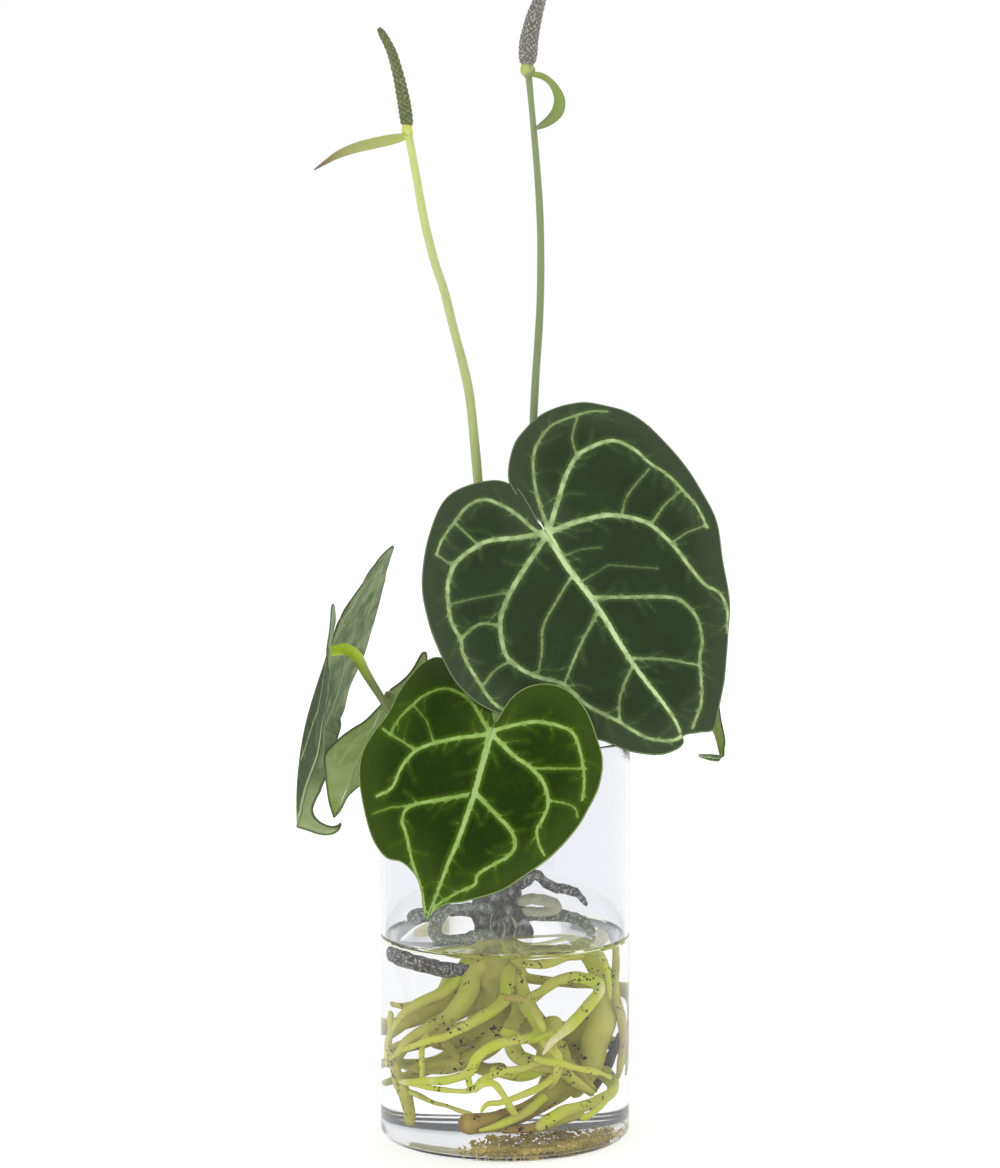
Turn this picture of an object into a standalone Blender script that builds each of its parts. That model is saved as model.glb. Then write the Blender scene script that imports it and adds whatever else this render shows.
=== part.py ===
# A crystal-leaf anthurium growing bare-rooted in water in a clear glass cylinder vase.
# Axes: the origin is the centre of the vase's underside, +Z is up, -Y is the viewing side.
# Lengths in the tables below are millimetres; MM turns them into metres.

import math

import bmesh
import bpy
from mathutils import Vector

for item in list(bpy.data.objects):
    bpy.data.objects.remove(item, do_unlink=True)

MM = 0.001
GAP = 0.3               # left between touching pieces

# Glass vase: a straight cylinder with a thick base.
VASE_RADIUS = 60.0
VASE_HEIGHT = 192.0
VASE_WALL = 2.5
VASE_BASE = 8.0
VASE_STEPS = 32
WATER_LEVEL = 96.7

# Rootstock: the stubby stem every stalk and root grows from.
STEM_TOP = 126.0
STEM_BOTTOM = 76.0

LEAF_THICK = 0.8
SPATHE_THICK = 0.6


# ---------------------------------------------------------------- materials

def material(name, colour, rough, transmission=0.0):
    mat = bpy.data.materials.new(name)
    mat.use_nodes = True
    shader = mat.node_tree.nodes["Principled BSDF"]
    shader.inputs["Base Color"].default_value = (*colour, 1.0)
    shader.inputs["Roughness"].default_value = rough
    shader.inputs["Transmission Weight"].default_value = transmission
    mat.diffuse_color = (*colour, 1.0)
    return mat


CLEAR_GLASS = material("clear_glass", (0.93, 0.95, 0.97), 0.02, 1.0)
CLEAR_WATER = material("clear_water", (0.95, 0.97, 0.90), 0.02, 1.0)
DARK_LEAF = material("dark_leaf", (0.05, 0.09, 0.03), 0.45)
GREEN_STALK = material("green_stalk", (0.45, 0.58, 0.16), 0.45)
GREEN_SPADIX = material("green_spadix", (0.15, 0.19, 0.08), 0.6)
BROWN_SPADIX = material("brown_spadix", (0.19, 0.16, 0.13), 0.6)
GREEN_SPATHE = material("green_spathe", (0.42, 0.50, 0.15), 0.5)
DARK_BARK = material("dark_bark", (0.10, 0.09, 0.08), 0.8)
PALE_ROOT = material("pale_root", (0.45, 0.45, 0.12), 0.5)


# ---------------------------------------------------------------- helpers

PARTS = bpy.data.collections.new("anthurium_in_glass_vase")
CUTTERS = bpy.data.collections.new("cutters")
bpy.context.scene.collection.children.link(PARTS)
bpy.context.scene.collection.children.link(CUTTERS)


def add_mesh(name, mesh, mat, collection=PARTS):
    obj = bpy.data.objects.new(name, mesh)
    mesh.materials.clear()
    mesh.materials.append(mat)
    mesh.shade_smooth()
    collection.objects.link(obj)
    return obj


def solid_of(obj):
    # The finished mesh of an object with its modifiers or its curve worked out.
    graph = bpy.context.evaluated_depsgraph_get()
    mesh = bpy.data.meshes.new_from_object(obj.evaluated_get(graph))
    mesh.transform(obj.matrix_world)
    work = bmesh.new()
    work.from_mesh(mesh)
    bmesh.ops.remove_doubles(work, verts=work.verts, dist=1e-6)
    bmesh.ops.recalc_face_normals(work, faces=work.faces)
    work.to_mesh(mesh)
    work.free()
    return mesh


def smooth_path(points, count):
    # Points evenly spread along a smooth line through the given ones.
    ends = [2 * Vector(points[0]) - Vector(points[1])]
    line = ends + [Vector(p) for p in points]
    line.append(2 * line[-1] - line[-2])
    spans = len(points) - 1
    result = []
    for i in range(count):
        where = spans * i / (count - 1)
        k = min(int(where), spans - 1)
        t = where - k
        a, b, c, d = line[k], line[k + 1], line[k + 2], line[k + 3]
        result.append(0.5 * (2 * b + (c - a) * t + (2 * a - 5 * b + 4 * c - d) * t * t
                             + (3 * b - a - 3 * c + d) * t * t * t))
    return result


def tube(name, points, radius_start, radius_end, mat, count=10, sides=1, grow=0.0):
    # A closed round stalk. With grow it is the hollow for one: fatter all over, and
    # long enough at its start to open into the rootstock's hollow.
    path = smooth_path(points, count)
    if grow:
        path[0] += (path[0] - path[1]).normalized() * 6 * grow
        path[-1] += (path[-1] - path[-2]).normalized() * grow
    curve = bpy.data.curves.new(name, "CURVE")
    curve.dimensions = "3D"
    curve.bevel_depth = MM
    curve.bevel_resolution = sides
    curve.use_fill_caps = True
    spline = curve.splines.new("POLY")
    spline.points.add(count - 1)
    for i, place in enumerate(path):
        share = i / (count - 1)
        spline.points[i].co = (*(place * MM), 1.0)
        spline.points[i].radius = radius_start + (radius_end - radius_start) * share + grow
    obj = bpy.data.objects.new(name + "_path", curve)
    PARTS.objects.link(obj)
    mesh = solid_of(obj)
    bpy.data.objects.remove(obj, do_unlink=True)
    return add_mesh(name, mesh, mat, CUTTERS if grow else PARTS)


def turned(name, profile, mat):
    # A closed body of revolution from an outer profile run top to bottom.
    mesh = bpy.data.meshes.new(name)
    points = [(radius * MM, 0.0, height * MM) for radius, height in profile]
    edges = [(i, i + 1) for i in range(len(points) - 1)]
    mesh.from_pydata(points, edges, [])
    obj = add_mesh(name, mesh, mat)
    screw = obj.modifiers.new("turn", "SCREW")
    screw.axis = "Z"
    screw.steps = VASE_STEPS
    screw.render_steps = VASE_STEPS
    screw.use_merge_vertices = True
    screw.merge_threshold = 0.0001
    screw.use_normal_calculate = True
    return obj


def blade(name, base, along, normal, right, left, bend, mat, thick=LEAF_THICK, rows=16):
    # A leaf blade: a grid spread between the midrib and the two margins, then curved.
    # right and left are margin points (across, along) from the notch round to the tip;
    # bend gives the heights above the flat blade: fold and arch of the right and the left
    # half, droop of the right and the left lobe, tip droop, and how much further the right
    # half folds with each millimetre towards the tip.
    base = Vector(base)
    along = Vector(along).normalized()
    normal = Vector(normal)
    normal = (normal - normal.dot(along) * along).normalized()
    across = along.cross(normal)
    if across.dot(Vector((1, -0.6, 0))) < 0:
        across = -across
    fold_right, fold_left, arch_right, arch_left, lobe_right, lobe_left, tip, twist = bend
    columns = 4
    length = right[-1][1]
    margins = {}
    for side, margin in ((1, right), (-1, left)):
        outline = [(u, v, 0) for u, v in margin]
        margins[side] = smooth_path(outline, rows + 1)
    work = bmesh.new()
    bmesh.ops.create_grid(work, x_segments=2 * columns, y_segments=rows, size=1.0)
    for vert in work.verts:
        side = 1 if vert.co.x > 0 else -1
        share = abs(vert.co.x)
        row = round((vert.co.y + 1) / 2 * rows)
        mid = length * max(0.0, (row / rows - 0.38) / 0.62)
        edge = margins[side][row]
        u = edge.x * share
        v = mid + (edge.y - mid) * share
        fold = fold_right if side > 0 else fold_left
        arch = arch_right if side > 0 else arch_left
        lobe = lobe_right if side > 0 else lobe_left
        height = fold * abs(u) + arch * u * u + twist * v * max(u, 0)
        height += lobe * min(v, 0) ** 2 + tip * max(v - 30, 0) ** 2
        vert.co = (base + u * across + v * along + height * normal) * MM
    bmesh.ops.remove_doubles(work, verts=work.verts, dist=1e-5)
    bmesh.ops.triangulate(work, faces=work.faces)
    bmesh.ops.recalc_face_normals(work, faces=work.faces)
    mesh = bpy.data.meshes.new(name)
    work.to_mesh(mesh)
    work.free()
    obj = add_mesh(name, mesh, mat)
    thickness = obj.modifiers.new("thickness", "SOLIDIFY")
    thickness.thickness = thick * MM
    thickness.offset = 0.0
    return obj


def ribbon(name, points, widths, across, mat):
    # A narrow bract following a bent line.
    rows = 12
    path = smooth_path(points, rows + 1)
    spread = smooth_path([(w, 0, 0) for w in widths], rows + 1)
    across = Vector(across).normalized()
    work = bmesh.new()
    bmesh.ops.create_grid(work, x_segments=2, y_segments=rows, size=1.0)
    for vert in work.verts:
        row = round((vert.co.y + 1) / 2 * rows)
        ahead = path[min(row + 1, rows)] - path[max(row - 1, 0)]
        side = (across - across.dot(ahead.normalized()) * ahead.normalized()).normalized()
        vert.co = (path[row] + side * vert.co.x * spread[row].x) * MM
    mesh = bpy.data.meshes.new(name)
    work.to_mesh(mesh)
    work.free()
    obj = add_mesh(name, mesh, mat)
    thickness = obj.modifiers.new("thickness", "SOLIDIFY")
    thickness.thickness = SPATHE_THICK * MM
    thickness.offset = 0.0
    return obj


# ---------------------------------------------------------------- vase

INNER = VASE_RADIUS - VASE_WALL
turned("glass_vase", [
    (0, VASE_BASE),
    (INNER - 6, VASE_BASE),
    (INNER - 1.8, VASE_BASE + 1.8),
    (INNER, VASE_BASE + 6),
    (INNER, VASE_HEIGHT - 1.0),
    (INNER + 0.7, VASE_HEIGHT),
    (VASE_RADIUS - 0.7, VASE_HEIGHT),
    (VASE_RADIUS, VASE_HEIGHT - 1.0),
    (VASE_RADIUS, 7.0),
    (VASE_RADIUS - 2.0, 2.0),
    (VASE_RADIUS - 7.0, 0.0),
    (0, 0),
], CLEAR_GLASS)


# ---------------------------------------------------------------- rootstock and roots

tube("rootstock", [(0, 0, STEM_BOTTOM), (0, 0, 93), (0, 0, 110), (0, 0, STEM_TOP)],
     15.0, 13.5, DARK_BARK, count=5, sides=3)

START = STEM_BOTTOM - GAP

ROOTS = {
    "root_01_left": (3.2, 2.4, [
        (-11.5, -3, START), (-14, -5, 70), (-26, -12, 66), (-46, -14, 64)]),
    "root_02_left_front": (3.0, 2.0, [
        (-8.8, -8.8, START), (-14, -16, 64), (-28, -28, 53), (-40, -30, 44), (-47, -24, 36)]),
    "root_03_front_left": (2.6, 1.8, [
        (-3, -12, START), (-1, -18, 66), (-10, -30, 56), (-24, -40, 46), (-36, -38, 41)]),
    "root_04_front_long": (2.8, 1.8, [
        (4.5, -11.5, START), (8, -20, 64), (12, -32, 53), (2, -44, 46), (-14, -46, 36),
        (-30, -42, 27), (-43, -29, 22)]),
    "root_05_front_loop": (2.6, 1.4, [
        (10.5, -6.5, START), (15, -14, 70), (24, -24, 72), (34, -30, 73), (38, -31, 68),
        (32, -38, 56), (20, -45, 42)]),
    "root_06_right": (3.4, 2.6, [
        (11.3, 1.5, START), (18, 4, 69), (31, 6, 75), (38, 4, 66), (39, 2, 52), (34, -4, 36)]),
    "root_07_right_back": (3.0, 2.2, [
        (8, 9, START), (16, 18, 70), (34, 26, 69), (44, 18, 56), (47, 13, 40), (47, 11, 30)]),
    "root_08_back_right": (2.8, 2.0, [
        (1, 12, START), (6, 26, 62), (2, 42, 46), (-14, 44, 30), (-30, 34, 20)]),
    "root_09_back_left": (2.8, 2.0, [
        (-6.5, 10, START), (-14, 24, 62), (-28, 34, 50), (-40, 26, 40), (-46, 12, 32)]),
    "root_10_left_blunt": (3.0, 3.2, [
        (-4.5, 1.5, START), (-9, 3, 66), (-24, 4, 56), (-36, 2, 44), (-44, -6, 30),
        (-42, -16, 20), (-38, -22, 13.5)]),
    "root_11_floor_left": (2.8, 5.0, [
        (3.2, -3.8, START), (9, -6, 64), (22, -10, 46), (28, -16, 32), (20, -26, 21),
        (4, -36, 15.8), (-18, -42, 14.4)]),
    "root_12_floor_right": (2.8, 3.0, [
        (3, 4.5, START), (8, 9, 62), (22, 12, 42), (36, 4, 24), (40, -14, 18),
        (30, -32, 14), (16, -46, 13.5)]),
}
for root_name, (thick_start, thick_end, places) in ROOTS.items():
    # A root that leaves at a slant starts lower, so its end face clears the rootstock.
    lean = (smooth_path(places, 3 * len(places) - 3)[1] - Vector(places[0])).normalized()
    drop = thick_start * math.sqrt(1 - lean.z * lean.z)
    places[0] = (places[0][0], places[0][1], places[0][2] - drop)
    tube(root_name, places, thick_start, thick_end, PALE_ROOT, count=3 * len(places) - 3)

OLD_ROOT = [(-14.4, -6.6, 86), (-30, -18, 87.5), (-47, -23, 89)]
tube("root_13_old_dark", OLD_ROOT, 3.6, 3.3, DARK_BARK, count=6)

# Dark aerial roots above the water line.
AERIAL_ROOTS = {
    "aerial_root_right": (2.8, 1.2, [
        (12.9, -3.8, 121), (22, -6, 121), (31, -6, 118), (38, -6, 112)]),
    "aerial_root_left": (2.6, 2.8, [
        (-14.5, -2.6, 108), (-26, -6, 110), (-42, -9, 107)]),
    "aerial_root_arch": (2.5, 2.2, [
        (-10.9, -10.9, 106), (-18, -18, 111), (-28, -22, 109), (-31, -22, 103),
        (-24, -20, 99.7)]),
    "aerial_root_low_right": (2.8, 2.4, [
        (14.0, 2.7, 112), (24, 4, 112), (33, 4, 107), (41, 4, 100.2)]),
}
for root_name, (thick_start, thick_end, places) in AERIAL_ROOTS.items():
    tube(root_name, places, thick_start, thick_end, DARK_BARK, count=2 * len(places))


# ---------------------------------------------------------------- water

water = turned("water", [
    (0, WATER_LEVEL),
    (INNER - GAP, WATER_LEVEL),
    (INNER - GAP, VASE_BASE + 6 + GAP),
    (INNER - 1.8 - GAP, VASE_BASE + 1.8 + GAP),
    (INNER - 6 - GAP, VASE_BASE + GAP),
    (0, VASE_BASE + GAP),
], CLEAR_WATER)

wet = {"rootstock": (15.0, 13.5, [(0, 0, STEM_BOTTOM), (0, 0, 93), (0, 0, 110), (0, 0, 126)])}
wet.update(ROOTS)
wet["root_13_old_dark"] = (3.6, 3.3, OLD_ROOT)
for wet_name, (thick_start, thick_end, places) in wet.items():
    rings = 3 * len(places) - 3
    around = 1
    if wet_name == "rootstock":
        rings = 5
        around = 3
    if wet_name == "root_13_old_dark":
        rings = 6
    hollow = tube(wet_name + "_hollow", places, thick_start, thick_end, DARK_BARK,
                  count=rings, sides=around, grow=GAP)
    hollow.hide_render = True
    hollow.display_type = "WIRE"
    cut = water.modifiers.new(wet_name, "BOOLEAN")
    cut.operation = "DIFFERENCE"
    cut.solver = "EXACT"
    cut.object = hollow

water_mesh = solid_of(water)
water.modifiers.clear()
water.data = water_mesh
for hollow in list(CUTTERS.objects):
    bpy.data.objects.remove(hollow, do_unlink=True)
body = bmesh.new()
body.from_mesh(water_mesh)
left_over = set(body.verts)
islands = []
while left_over:
    island = {left_over.pop()}
    front = list(island)
    while front:
        for edge in front.pop().link_edges:
            for vert in edge.verts:
                if vert not in island:
                    island.add(vert)
                    front.append(vert)
    left_over -= island
    islands.append(island)
islands.sort(key=len)
for island in islands[:-1]:
    bmesh.ops.delete(body, geom=list(island), context="VERTS")
body.to_mesh(water_mesh)
body.free()
water_mesh.shade_flat()


# ---------------------------------------------------------------- leaves

def leaf(number, base, along, normal, right, left, bend):
    blade("leaf_" + number, base, along, normal, right, left, bend, DARK_LEAF)


FOOT = STEM_TOP + GAP

leaf("1_large", (19.5, -30, 291.3), (0.531, -0.376, -0.76), (0.05, -0.88, 0.47),
     [(0.3, -7), (4, -26), (14, -48), (36, -55), (60, -46), (75, -18), (77, 14), (65, 52),
      (45, 88), (25, 111), (1, 120)],
     [(-0.3, -7), (-4, -24), (-11, -38), (-30, -39), (-50, -25), (-66, -3), (-75, 25), (-73, 54),
      (-52, 83), (-22, 113), (-1, 120)],
     (0, 0, -0.0012, 0.0002, -0.0008, -0.0008, -0.0006, 0))
tube("petiole_1", [(5, -8, FOOT), (6, -8, 150), (8, -2, 200), (14, 2, 250), (17, -8, 277),
                   (18.9, -20, 286), (19.45, -29.1, 290.8)], 2.4, 2.2, GREEN_STALK, count=14)

leaf("2_medium", (-6.5, -78, 203.5), (-0.325, -0.284, -0.902), (-0.244, -0.896, 0.37),
     [(0.5, -4), (6, -20), (18, -29), (39, -22), (51, -4), (54, 18), (46, 37), (26, 62),
      (10, 76), (1, 88)],
     [(-0.5, -4), (-9, -18), (-25, -25), (-40, -26), (-50, -8), (-57, 16), (-56, 33),
      (-40, 60), (-14, 74), (-1, 88)],
     (0, 0, -0.0012, -0.0020, -0.004, -0.02, -0.0006, 0))
tube("petiole_2", [(-3, -9, FOOT), (-3, -11, 150), (-3.5, -24, 180), (-4, -42, 197.5),
                   (-4, -56, 201.5), (-4.2, -68, 200), (-6.2, -77.2, 203.1)],
     2.3, 2.0, GREEN_STALK, count=14)

leaf("3_left", (-84, -14, 234), (-0.215, 0.28, -0.935), (-0.97, 0.0, 0.22),
     [(0.5, -4), (6, -18), (14, -28), (24, -30), (36, -17), (43, 0), (43, 18), (34, 38),
      (20, 56), (8, 70), (0.5, 84)],
     [(-0.5, -4), (-7, -22), (-15, -40), (-25, -50), (-35, -40), (-45, -22), (-46, 0),
      (-40, 18), (-31, 38), (-18, 58), (-7, 72), (-0.5, 84)],
     (-0.13, -0.35, 0, 0, 0, -0.004, -0.0008, -0.0055))
tube("petiole_3", [(-10, -3, FOOT), (-10.4, -3.2, 131), (-15, -6, 150), (-28, -16, 178), (-42, -27, 193),
                   (-49, -31, 200.5), (-56, -33, 210), (-67, -28, 228), (-75, -18, 235.5),
                   (-78.5, -14.5, 235), (-82.2, -14, 233.8)], 2.4, 2.1, GREEN_STALK, count=17)

leaf("4_back", (72, 50, 302), (0.283, -0.064, -0.957), (0.9, 0.38, 0.25),
     [(0.5, -4), (6, -22), (20, -36), (37, -29), (46, -8), (44, 20), (34, 50), (18, 78),
      (8, 96), (0.5, 112)],
     [(-0.5, -4), (-6, -22), (-20, -36), (-37, -29), (-46, -8), (-44, 20), (-34, 50),
      (-18, 78), (-8, 96), (-0.5, 112)],
     (0, 0, -0.002, -0.002, -0.001, -0.001, 0, 0))
tube("petiole_4", [(4, 9, FOOT), (8, 14, 170), (22, 22, 215), (42, 38, 264), (61, 46, 296),
                   (71.1, 49.6, 301.7)], 2.3, 2.0, GREEN_STALK, count=13)

leaf("5_low_left", (-56, -8, 213), (-0.395, -0.12, -0.91), (-0.38, 0.9, 0.2),
     [(0.5, -4), (8, -22), (16, -20), (20, -8), (16, 4), (9, 15), (5, 28), (4, 42), (0.5, 58)],
     [(-0.5, -3), (-8, 7), (-15, 16.5), (-19, 28), (-17, 37), (-9, 47.5), (-0.5, 58)],
     (0.35, 0.2, 0, 0, 0, 0, 0, 0))
tube("petiole_5", [(-9, 4, FOOT), (-14, 3, 150), (-30, 0, 182), (-44, -7, 203),
                   (-51, -16, 211.5), (-55.6, -9, 212.9)], 2.1, 1.9, GREEN_STALK, count=13)


# ---------------------------------------------------------------- flowers

tube("peduncle_left", [(-2, 0.5, FOOT), (-3, 2, 180), (-8, 5, 250), (-14, 6, 313),
                       (-19, 8, 366), (-32, 8, 423), (-46.5, 6, 477)],
     2.4, 1.9, GREEN_STALK, count=16)
tube("spadix_left", [(-46.7, 6, 477.9), (-52, 6, 496), (-56, 6, 512), (-60, 6, 526)],
     2.9, 1.6, GREEN_SPADIX, count=6)
ribbon("spathe_left", [(-48.6, 5.5, 473.2), (-60, 4, 475), (-74, 3, 471), (-90, 2, 460.5)],
       [0.9, 3.4, 3.0, 0.3], (0.2, -0.5, 0.85), GREEN_SPATHE)

tube("peduncle_right", [(5, 2, FOOT), (8, 6, 180), (11, 14, 250), (13.7, 20, 343),
                        (16.9, 22, 400), (16.4, 22, 447), (11, 20, 506)],
     2.1, 1.6, GREEN_STALK, count=16)
tube("spadix_right", [(10.9, 20, 506.9), (11.6, 20, 516), (15, 20, 534), (19, 20, 549)],
     4.6, 2.6, BROWN_SPADIX, count=6)
ribbon("spathe_right", [(13.1, 19, 504.5), (19, 17, 503.5), (26.5, 16, 491.5), (25, 16, 483),
                        (17.8, 17, 478)],
       [1.0, 1.8, 2.4, 1.8, 0.3], (0.3, -0.8, 0.4), GREEN_SPATHE)
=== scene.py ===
import math
import random

import bmesh
import bpy
import numpy as np
from mathutils import Matrix, Vector


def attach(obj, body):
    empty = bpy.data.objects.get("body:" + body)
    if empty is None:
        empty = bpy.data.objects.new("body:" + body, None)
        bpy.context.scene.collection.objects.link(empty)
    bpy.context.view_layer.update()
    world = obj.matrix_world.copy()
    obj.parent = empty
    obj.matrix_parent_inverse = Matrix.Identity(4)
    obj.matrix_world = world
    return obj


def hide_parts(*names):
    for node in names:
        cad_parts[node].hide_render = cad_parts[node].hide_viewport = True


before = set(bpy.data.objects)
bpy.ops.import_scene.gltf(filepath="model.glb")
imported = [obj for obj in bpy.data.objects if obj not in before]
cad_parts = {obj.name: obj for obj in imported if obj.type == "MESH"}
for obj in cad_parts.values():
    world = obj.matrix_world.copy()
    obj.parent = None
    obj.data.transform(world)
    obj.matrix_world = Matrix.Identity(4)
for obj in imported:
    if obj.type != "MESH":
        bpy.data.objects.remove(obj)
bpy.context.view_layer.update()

# The view: the camera stands level with the upper leaf and looks slightly down at the
# vase. Soft even light comes from a white room and two large lamps, one in front on the
# left and one behind on the right.
EYE_LENS = 96.8
EYE_PLACE = (-0.0024, -1.491, 0.3824)
EYE_TILT = 85.5
ROOM_SEEN = 1.0
ROOM_LIGHT = 0.85
ROOM_MIRRORED = 0.95

eye = bpy.data.cameras.new("eye")
eye.lens = EYE_LENS
eye.sensor_width = 36.0
eye.clip_end = 30.0
camera = bpy.data.objects.new("camera", eye)
bpy.context.scene.collection.objects.link(camera)
camera.location = EYE_PLACE
camera.rotation_euler = (math.radians(EYE_TILT), 0.0, 0.0)
bpy.context.scene.camera = camera
bpy.context.scene.view_settings.view_transform = "Standard"


def fill(tree, node, inputs):
    # Gives a node's inputs their values, colours or other nodes' outputs.
    for name, value in inputs.items():
        socket = node.inputs[name]
        if isinstance(value, bpy.types.NodeSocket):
            tree.links.new(value, socket)
        elif socket.type == "RGBA":
            socket.default_value = (*value, 1.0)
        else:
            socket.default_value = value
    return node


def add_node(tree, kind, inputs):
    # One new shader node of a kind, such as Math, with its inputs filled.
    return fill(tree, tree.nodes.new("ShaderNode" + kind), inputs)


def spread(tree, value, start, end, low=0.0, high=1.0, easing="LINEAR"):
    # The value between start and end, stretched to run from low to high.
    scale = add_node(tree, "MapRange", {"Value": value, "From Min": start, "From Max": end,
                                        "To Min": low, "To Max": high})
    scale.interpolation_type = easing
    return scale.outputs["Result"]


def reckon(tree, operation, *values):
    # One sum on its values, such as ADD or MULTIPLY.
    step = tree.nodes.new("ShaderNodeMath")
    step.operation = operation
    return fill(tree, step, dict(enumerate(values))).outputs[0]


room = bpy.data.worlds.new("white_room")
bpy.context.scene.world = room
room.use_nodes = True
air = room.node_tree
air.nodes.clear()
sight = add_node(air, "LightPath", {}).outputs
seen = reckon(air, "MAXIMUM", sight["Is Camera Ray"], sight["Is Transmission Ray"])
shown = spread(air, seen, 0.0, 1.0, ROOM_LIGHT, ROOM_SEEN)
mirrored = spread(air, sight["Is Glossy Ray"], 0.0, 1.0, 1.0, ROOM_MIRRORED)
walls = add_node(air, "Background", {"Color": (1.0, 1.0, 1.0),
                                     "Strength": reckon(air, "MULTIPLY", shown, mirrored)})
add_node(air, "OutputWorld", {"Surface": walls.outputs[0]})


def soft_lamp(name, place, target, size, watts):
    # A round lamp that shines from its place towards its target.
    lamp = bpy.data.lights.new(name, "AREA")
    lamp.shape = "DISK"
    lamp.size = size
    lamp.energy = watts
    holder = bpy.data.objects.new(name, lamp)
    bpy.context.scene.collection.objects.link(holder)
    holder.location = place
    holder.rotation_euler = (Vector(target) - Vector(place)).to_track_quat("-Z", "Y").to_euler()


soft_lamp("lamp_front_left", (-1.1, -1.5, 1.7), (0.0, 0.0, 0.25), size=0.9, watts=7.0)
soft_lamp("lamp_back_right", (1.3, 0.9, 1.5), (0.0, 0.0, 0.3), size=0.9, watts=4.0)


# Glass vase: one blown cylinder of clear soda glass with a thin flat floor, a rounded
# heel and a fire-polished rim. It stands loose on the table and holds the rest.
VASE_RADIUS = 0.0600
VASE_HEIGHT = 0.1920
VASE_INSIDE = 0.0575
FLOOR_INSIDE = 0.0026
INNER_CORNER = 0.0020
HEEL_CORNER = 0.0045
RIM_CORNER = 0.00125
TURNED_STEPS = 144
WATER_LEVEL = 0.0967
GLASS_BENDING = 1.47
WATER_BENDING = 1.33
RIPPLE_DEPTH = 0.0006


def arc_points(centre, radius, start, end, count):
    # Points on a rounded corner of a turned outline, as (radius out, height).
    turns = [math.radians(start + (end - start) * i / count) for i in range(count + 1)]
    return [(centre[0] + radius * math.cos(t), centre[1] + radius * math.sin(t)) for t in turns]


def smooth_object(name, work):
    # Turns a finished working mesh into a smooth-shaded object of the scene.
    mesh = bpy.data.meshes.new(name)
    work.to_mesh(mesh)
    work.free()
    mesh.shade_smooth()
    body = bpy.data.objects.new(name, mesh)
    bpy.context.scene.collection.objects.link(body)
    return body


def turned_body(name, outline):
    # A body of revolution about the upright axis; the outline runs from axis to axis.
    work = bmesh.new()
    ring = [work.verts.new((out, 0.0, up)) for out, up in outline]
    edges = [work.edges.new((ring[i], ring[i + 1])) for i in range(len(ring) - 1)]
    bmesh.ops.spin(work, geom=ring + edges, cent=(0, 0, 0), axis=(0, 0, 1),
                   angle=math.tau, steps=TURNED_STEPS, use_merge=True)
    bmesh.ops.remove_doubles(work, verts=work.verts, dist=1e-6)
    bmesh.ops.recalc_face_normals(work, faces=work.faces)
    return smooth_object(name, work)


vase_outline = [(0.0, FLOOR_INSIDE)]
vase_outline += arc_points((VASE_INSIDE - INNER_CORNER, FLOOR_INSIDE + INNER_CORNER),
                           INNER_CORNER, -90, 0, 8)
vase_outline += [(VASE_INSIDE, h) for h in (0.03, 0.06, 0.09, WATER_LEVEL, 0.12, 0.15, 0.18)]
vase_outline += arc_points((VASE_INSIDE + RIM_CORNER, VASE_HEIGHT - RIM_CORNER),
                           RIM_CORNER, 180, 0, 10)
vase_outline += [(VASE_RADIUS, h) for h in (0.18, 0.15, 0.12, 0.09, 0.06, 0.03)]
vase_outline += arc_points((VASE_RADIUS - HEEL_CORNER, HEEL_CORNER), HEEL_CORNER, 0, -90, 8)
vase_outline += [(0.045, 0.0006), (0.0, 0.0010)]
vase = turned_body("vase_glass", vase_outline)


def new_finish(name):
    # A new material and its node tree.
    finish = bpy.data.materials.new(name)
    finish.use_nodes = True
    return finish, finish.node_tree


def set_shader(tree, inputs):
    # Fills inputs of the material's own shader.
    fill(tree, tree.nodes["Principled BSDF"], inputs)


def object_place(tree):
    # Where a point lies on the piece, in metres from the middle of the vase's foot.
    return add_node(tree, "TexCoord", {}).outputs["Object"]


def noise(tree, where, scale, detail=2.0, roughness=0.5):
    # A cloudy value about 0.5; a higher scale gives smaller clouds.
    return add_node(tree, "TexNoise", {"Vector": where, "Scale": scale, "Detail": detail,
                                       "Roughness": roughness}).outputs["Fac"]


def relief(tree, height, strength, depth):
    # Tilts the surface as if it rose and fell with height by up to depth metres.
    return add_node(tree, "Bump", {"Height": height, "Strength": strength,
                                   "Distance": depth}).outputs["Normal"]


def clear_finish(name, tint, bending, lamp_tint, ripple_size, ripple_strength,
                 let_through=("Is Diffuse Ray", "Is Shadow Ray")):
    # A clear body that bends what is seen through it. The kinds of ray in let_through
    # pass it unbent and take lamp_tint, so that the room and the lamps light what is in it.
    finish, tree = new_finish(name)
    ripple = noise(tree, object_place(tree), ripple_size, 1.0)
    set_shader(tree, {"Base Color": tint, "Roughness": 0.0, "IOR": bending,
                      "Transmission Weight": 1.0,
                      "Normal": relief(tree, ripple, ripple_strength, RIPPLE_DEPTH)})
    path = add_node(tree, "LightPath", {}).outputs
    open_way = add_node(tree, "BsdfTransparent", {"Color": lamp_tint}).outputs["BSDF"]
    surface = tree.nodes["Principled BSDF"].outputs["BSDF"]
    for kind in let_through:
        choice = add_node(tree, "MixShader", {"Fac": path[kind], 1: surface, 2: open_way})
        surface = choice.outputs["Shader"]
    fill(tree, tree.nodes["Material Output"], {"Surface": surface})
    return finish


vase.data.materials.append(clear_finish(
    "clear_soda_glass", (0.885, 0.89, 0.915), GLASS_BENDING, (0.96, 0.96, 0.97),
    ripple_size=22.0, ripple_strength=0.04))
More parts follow.
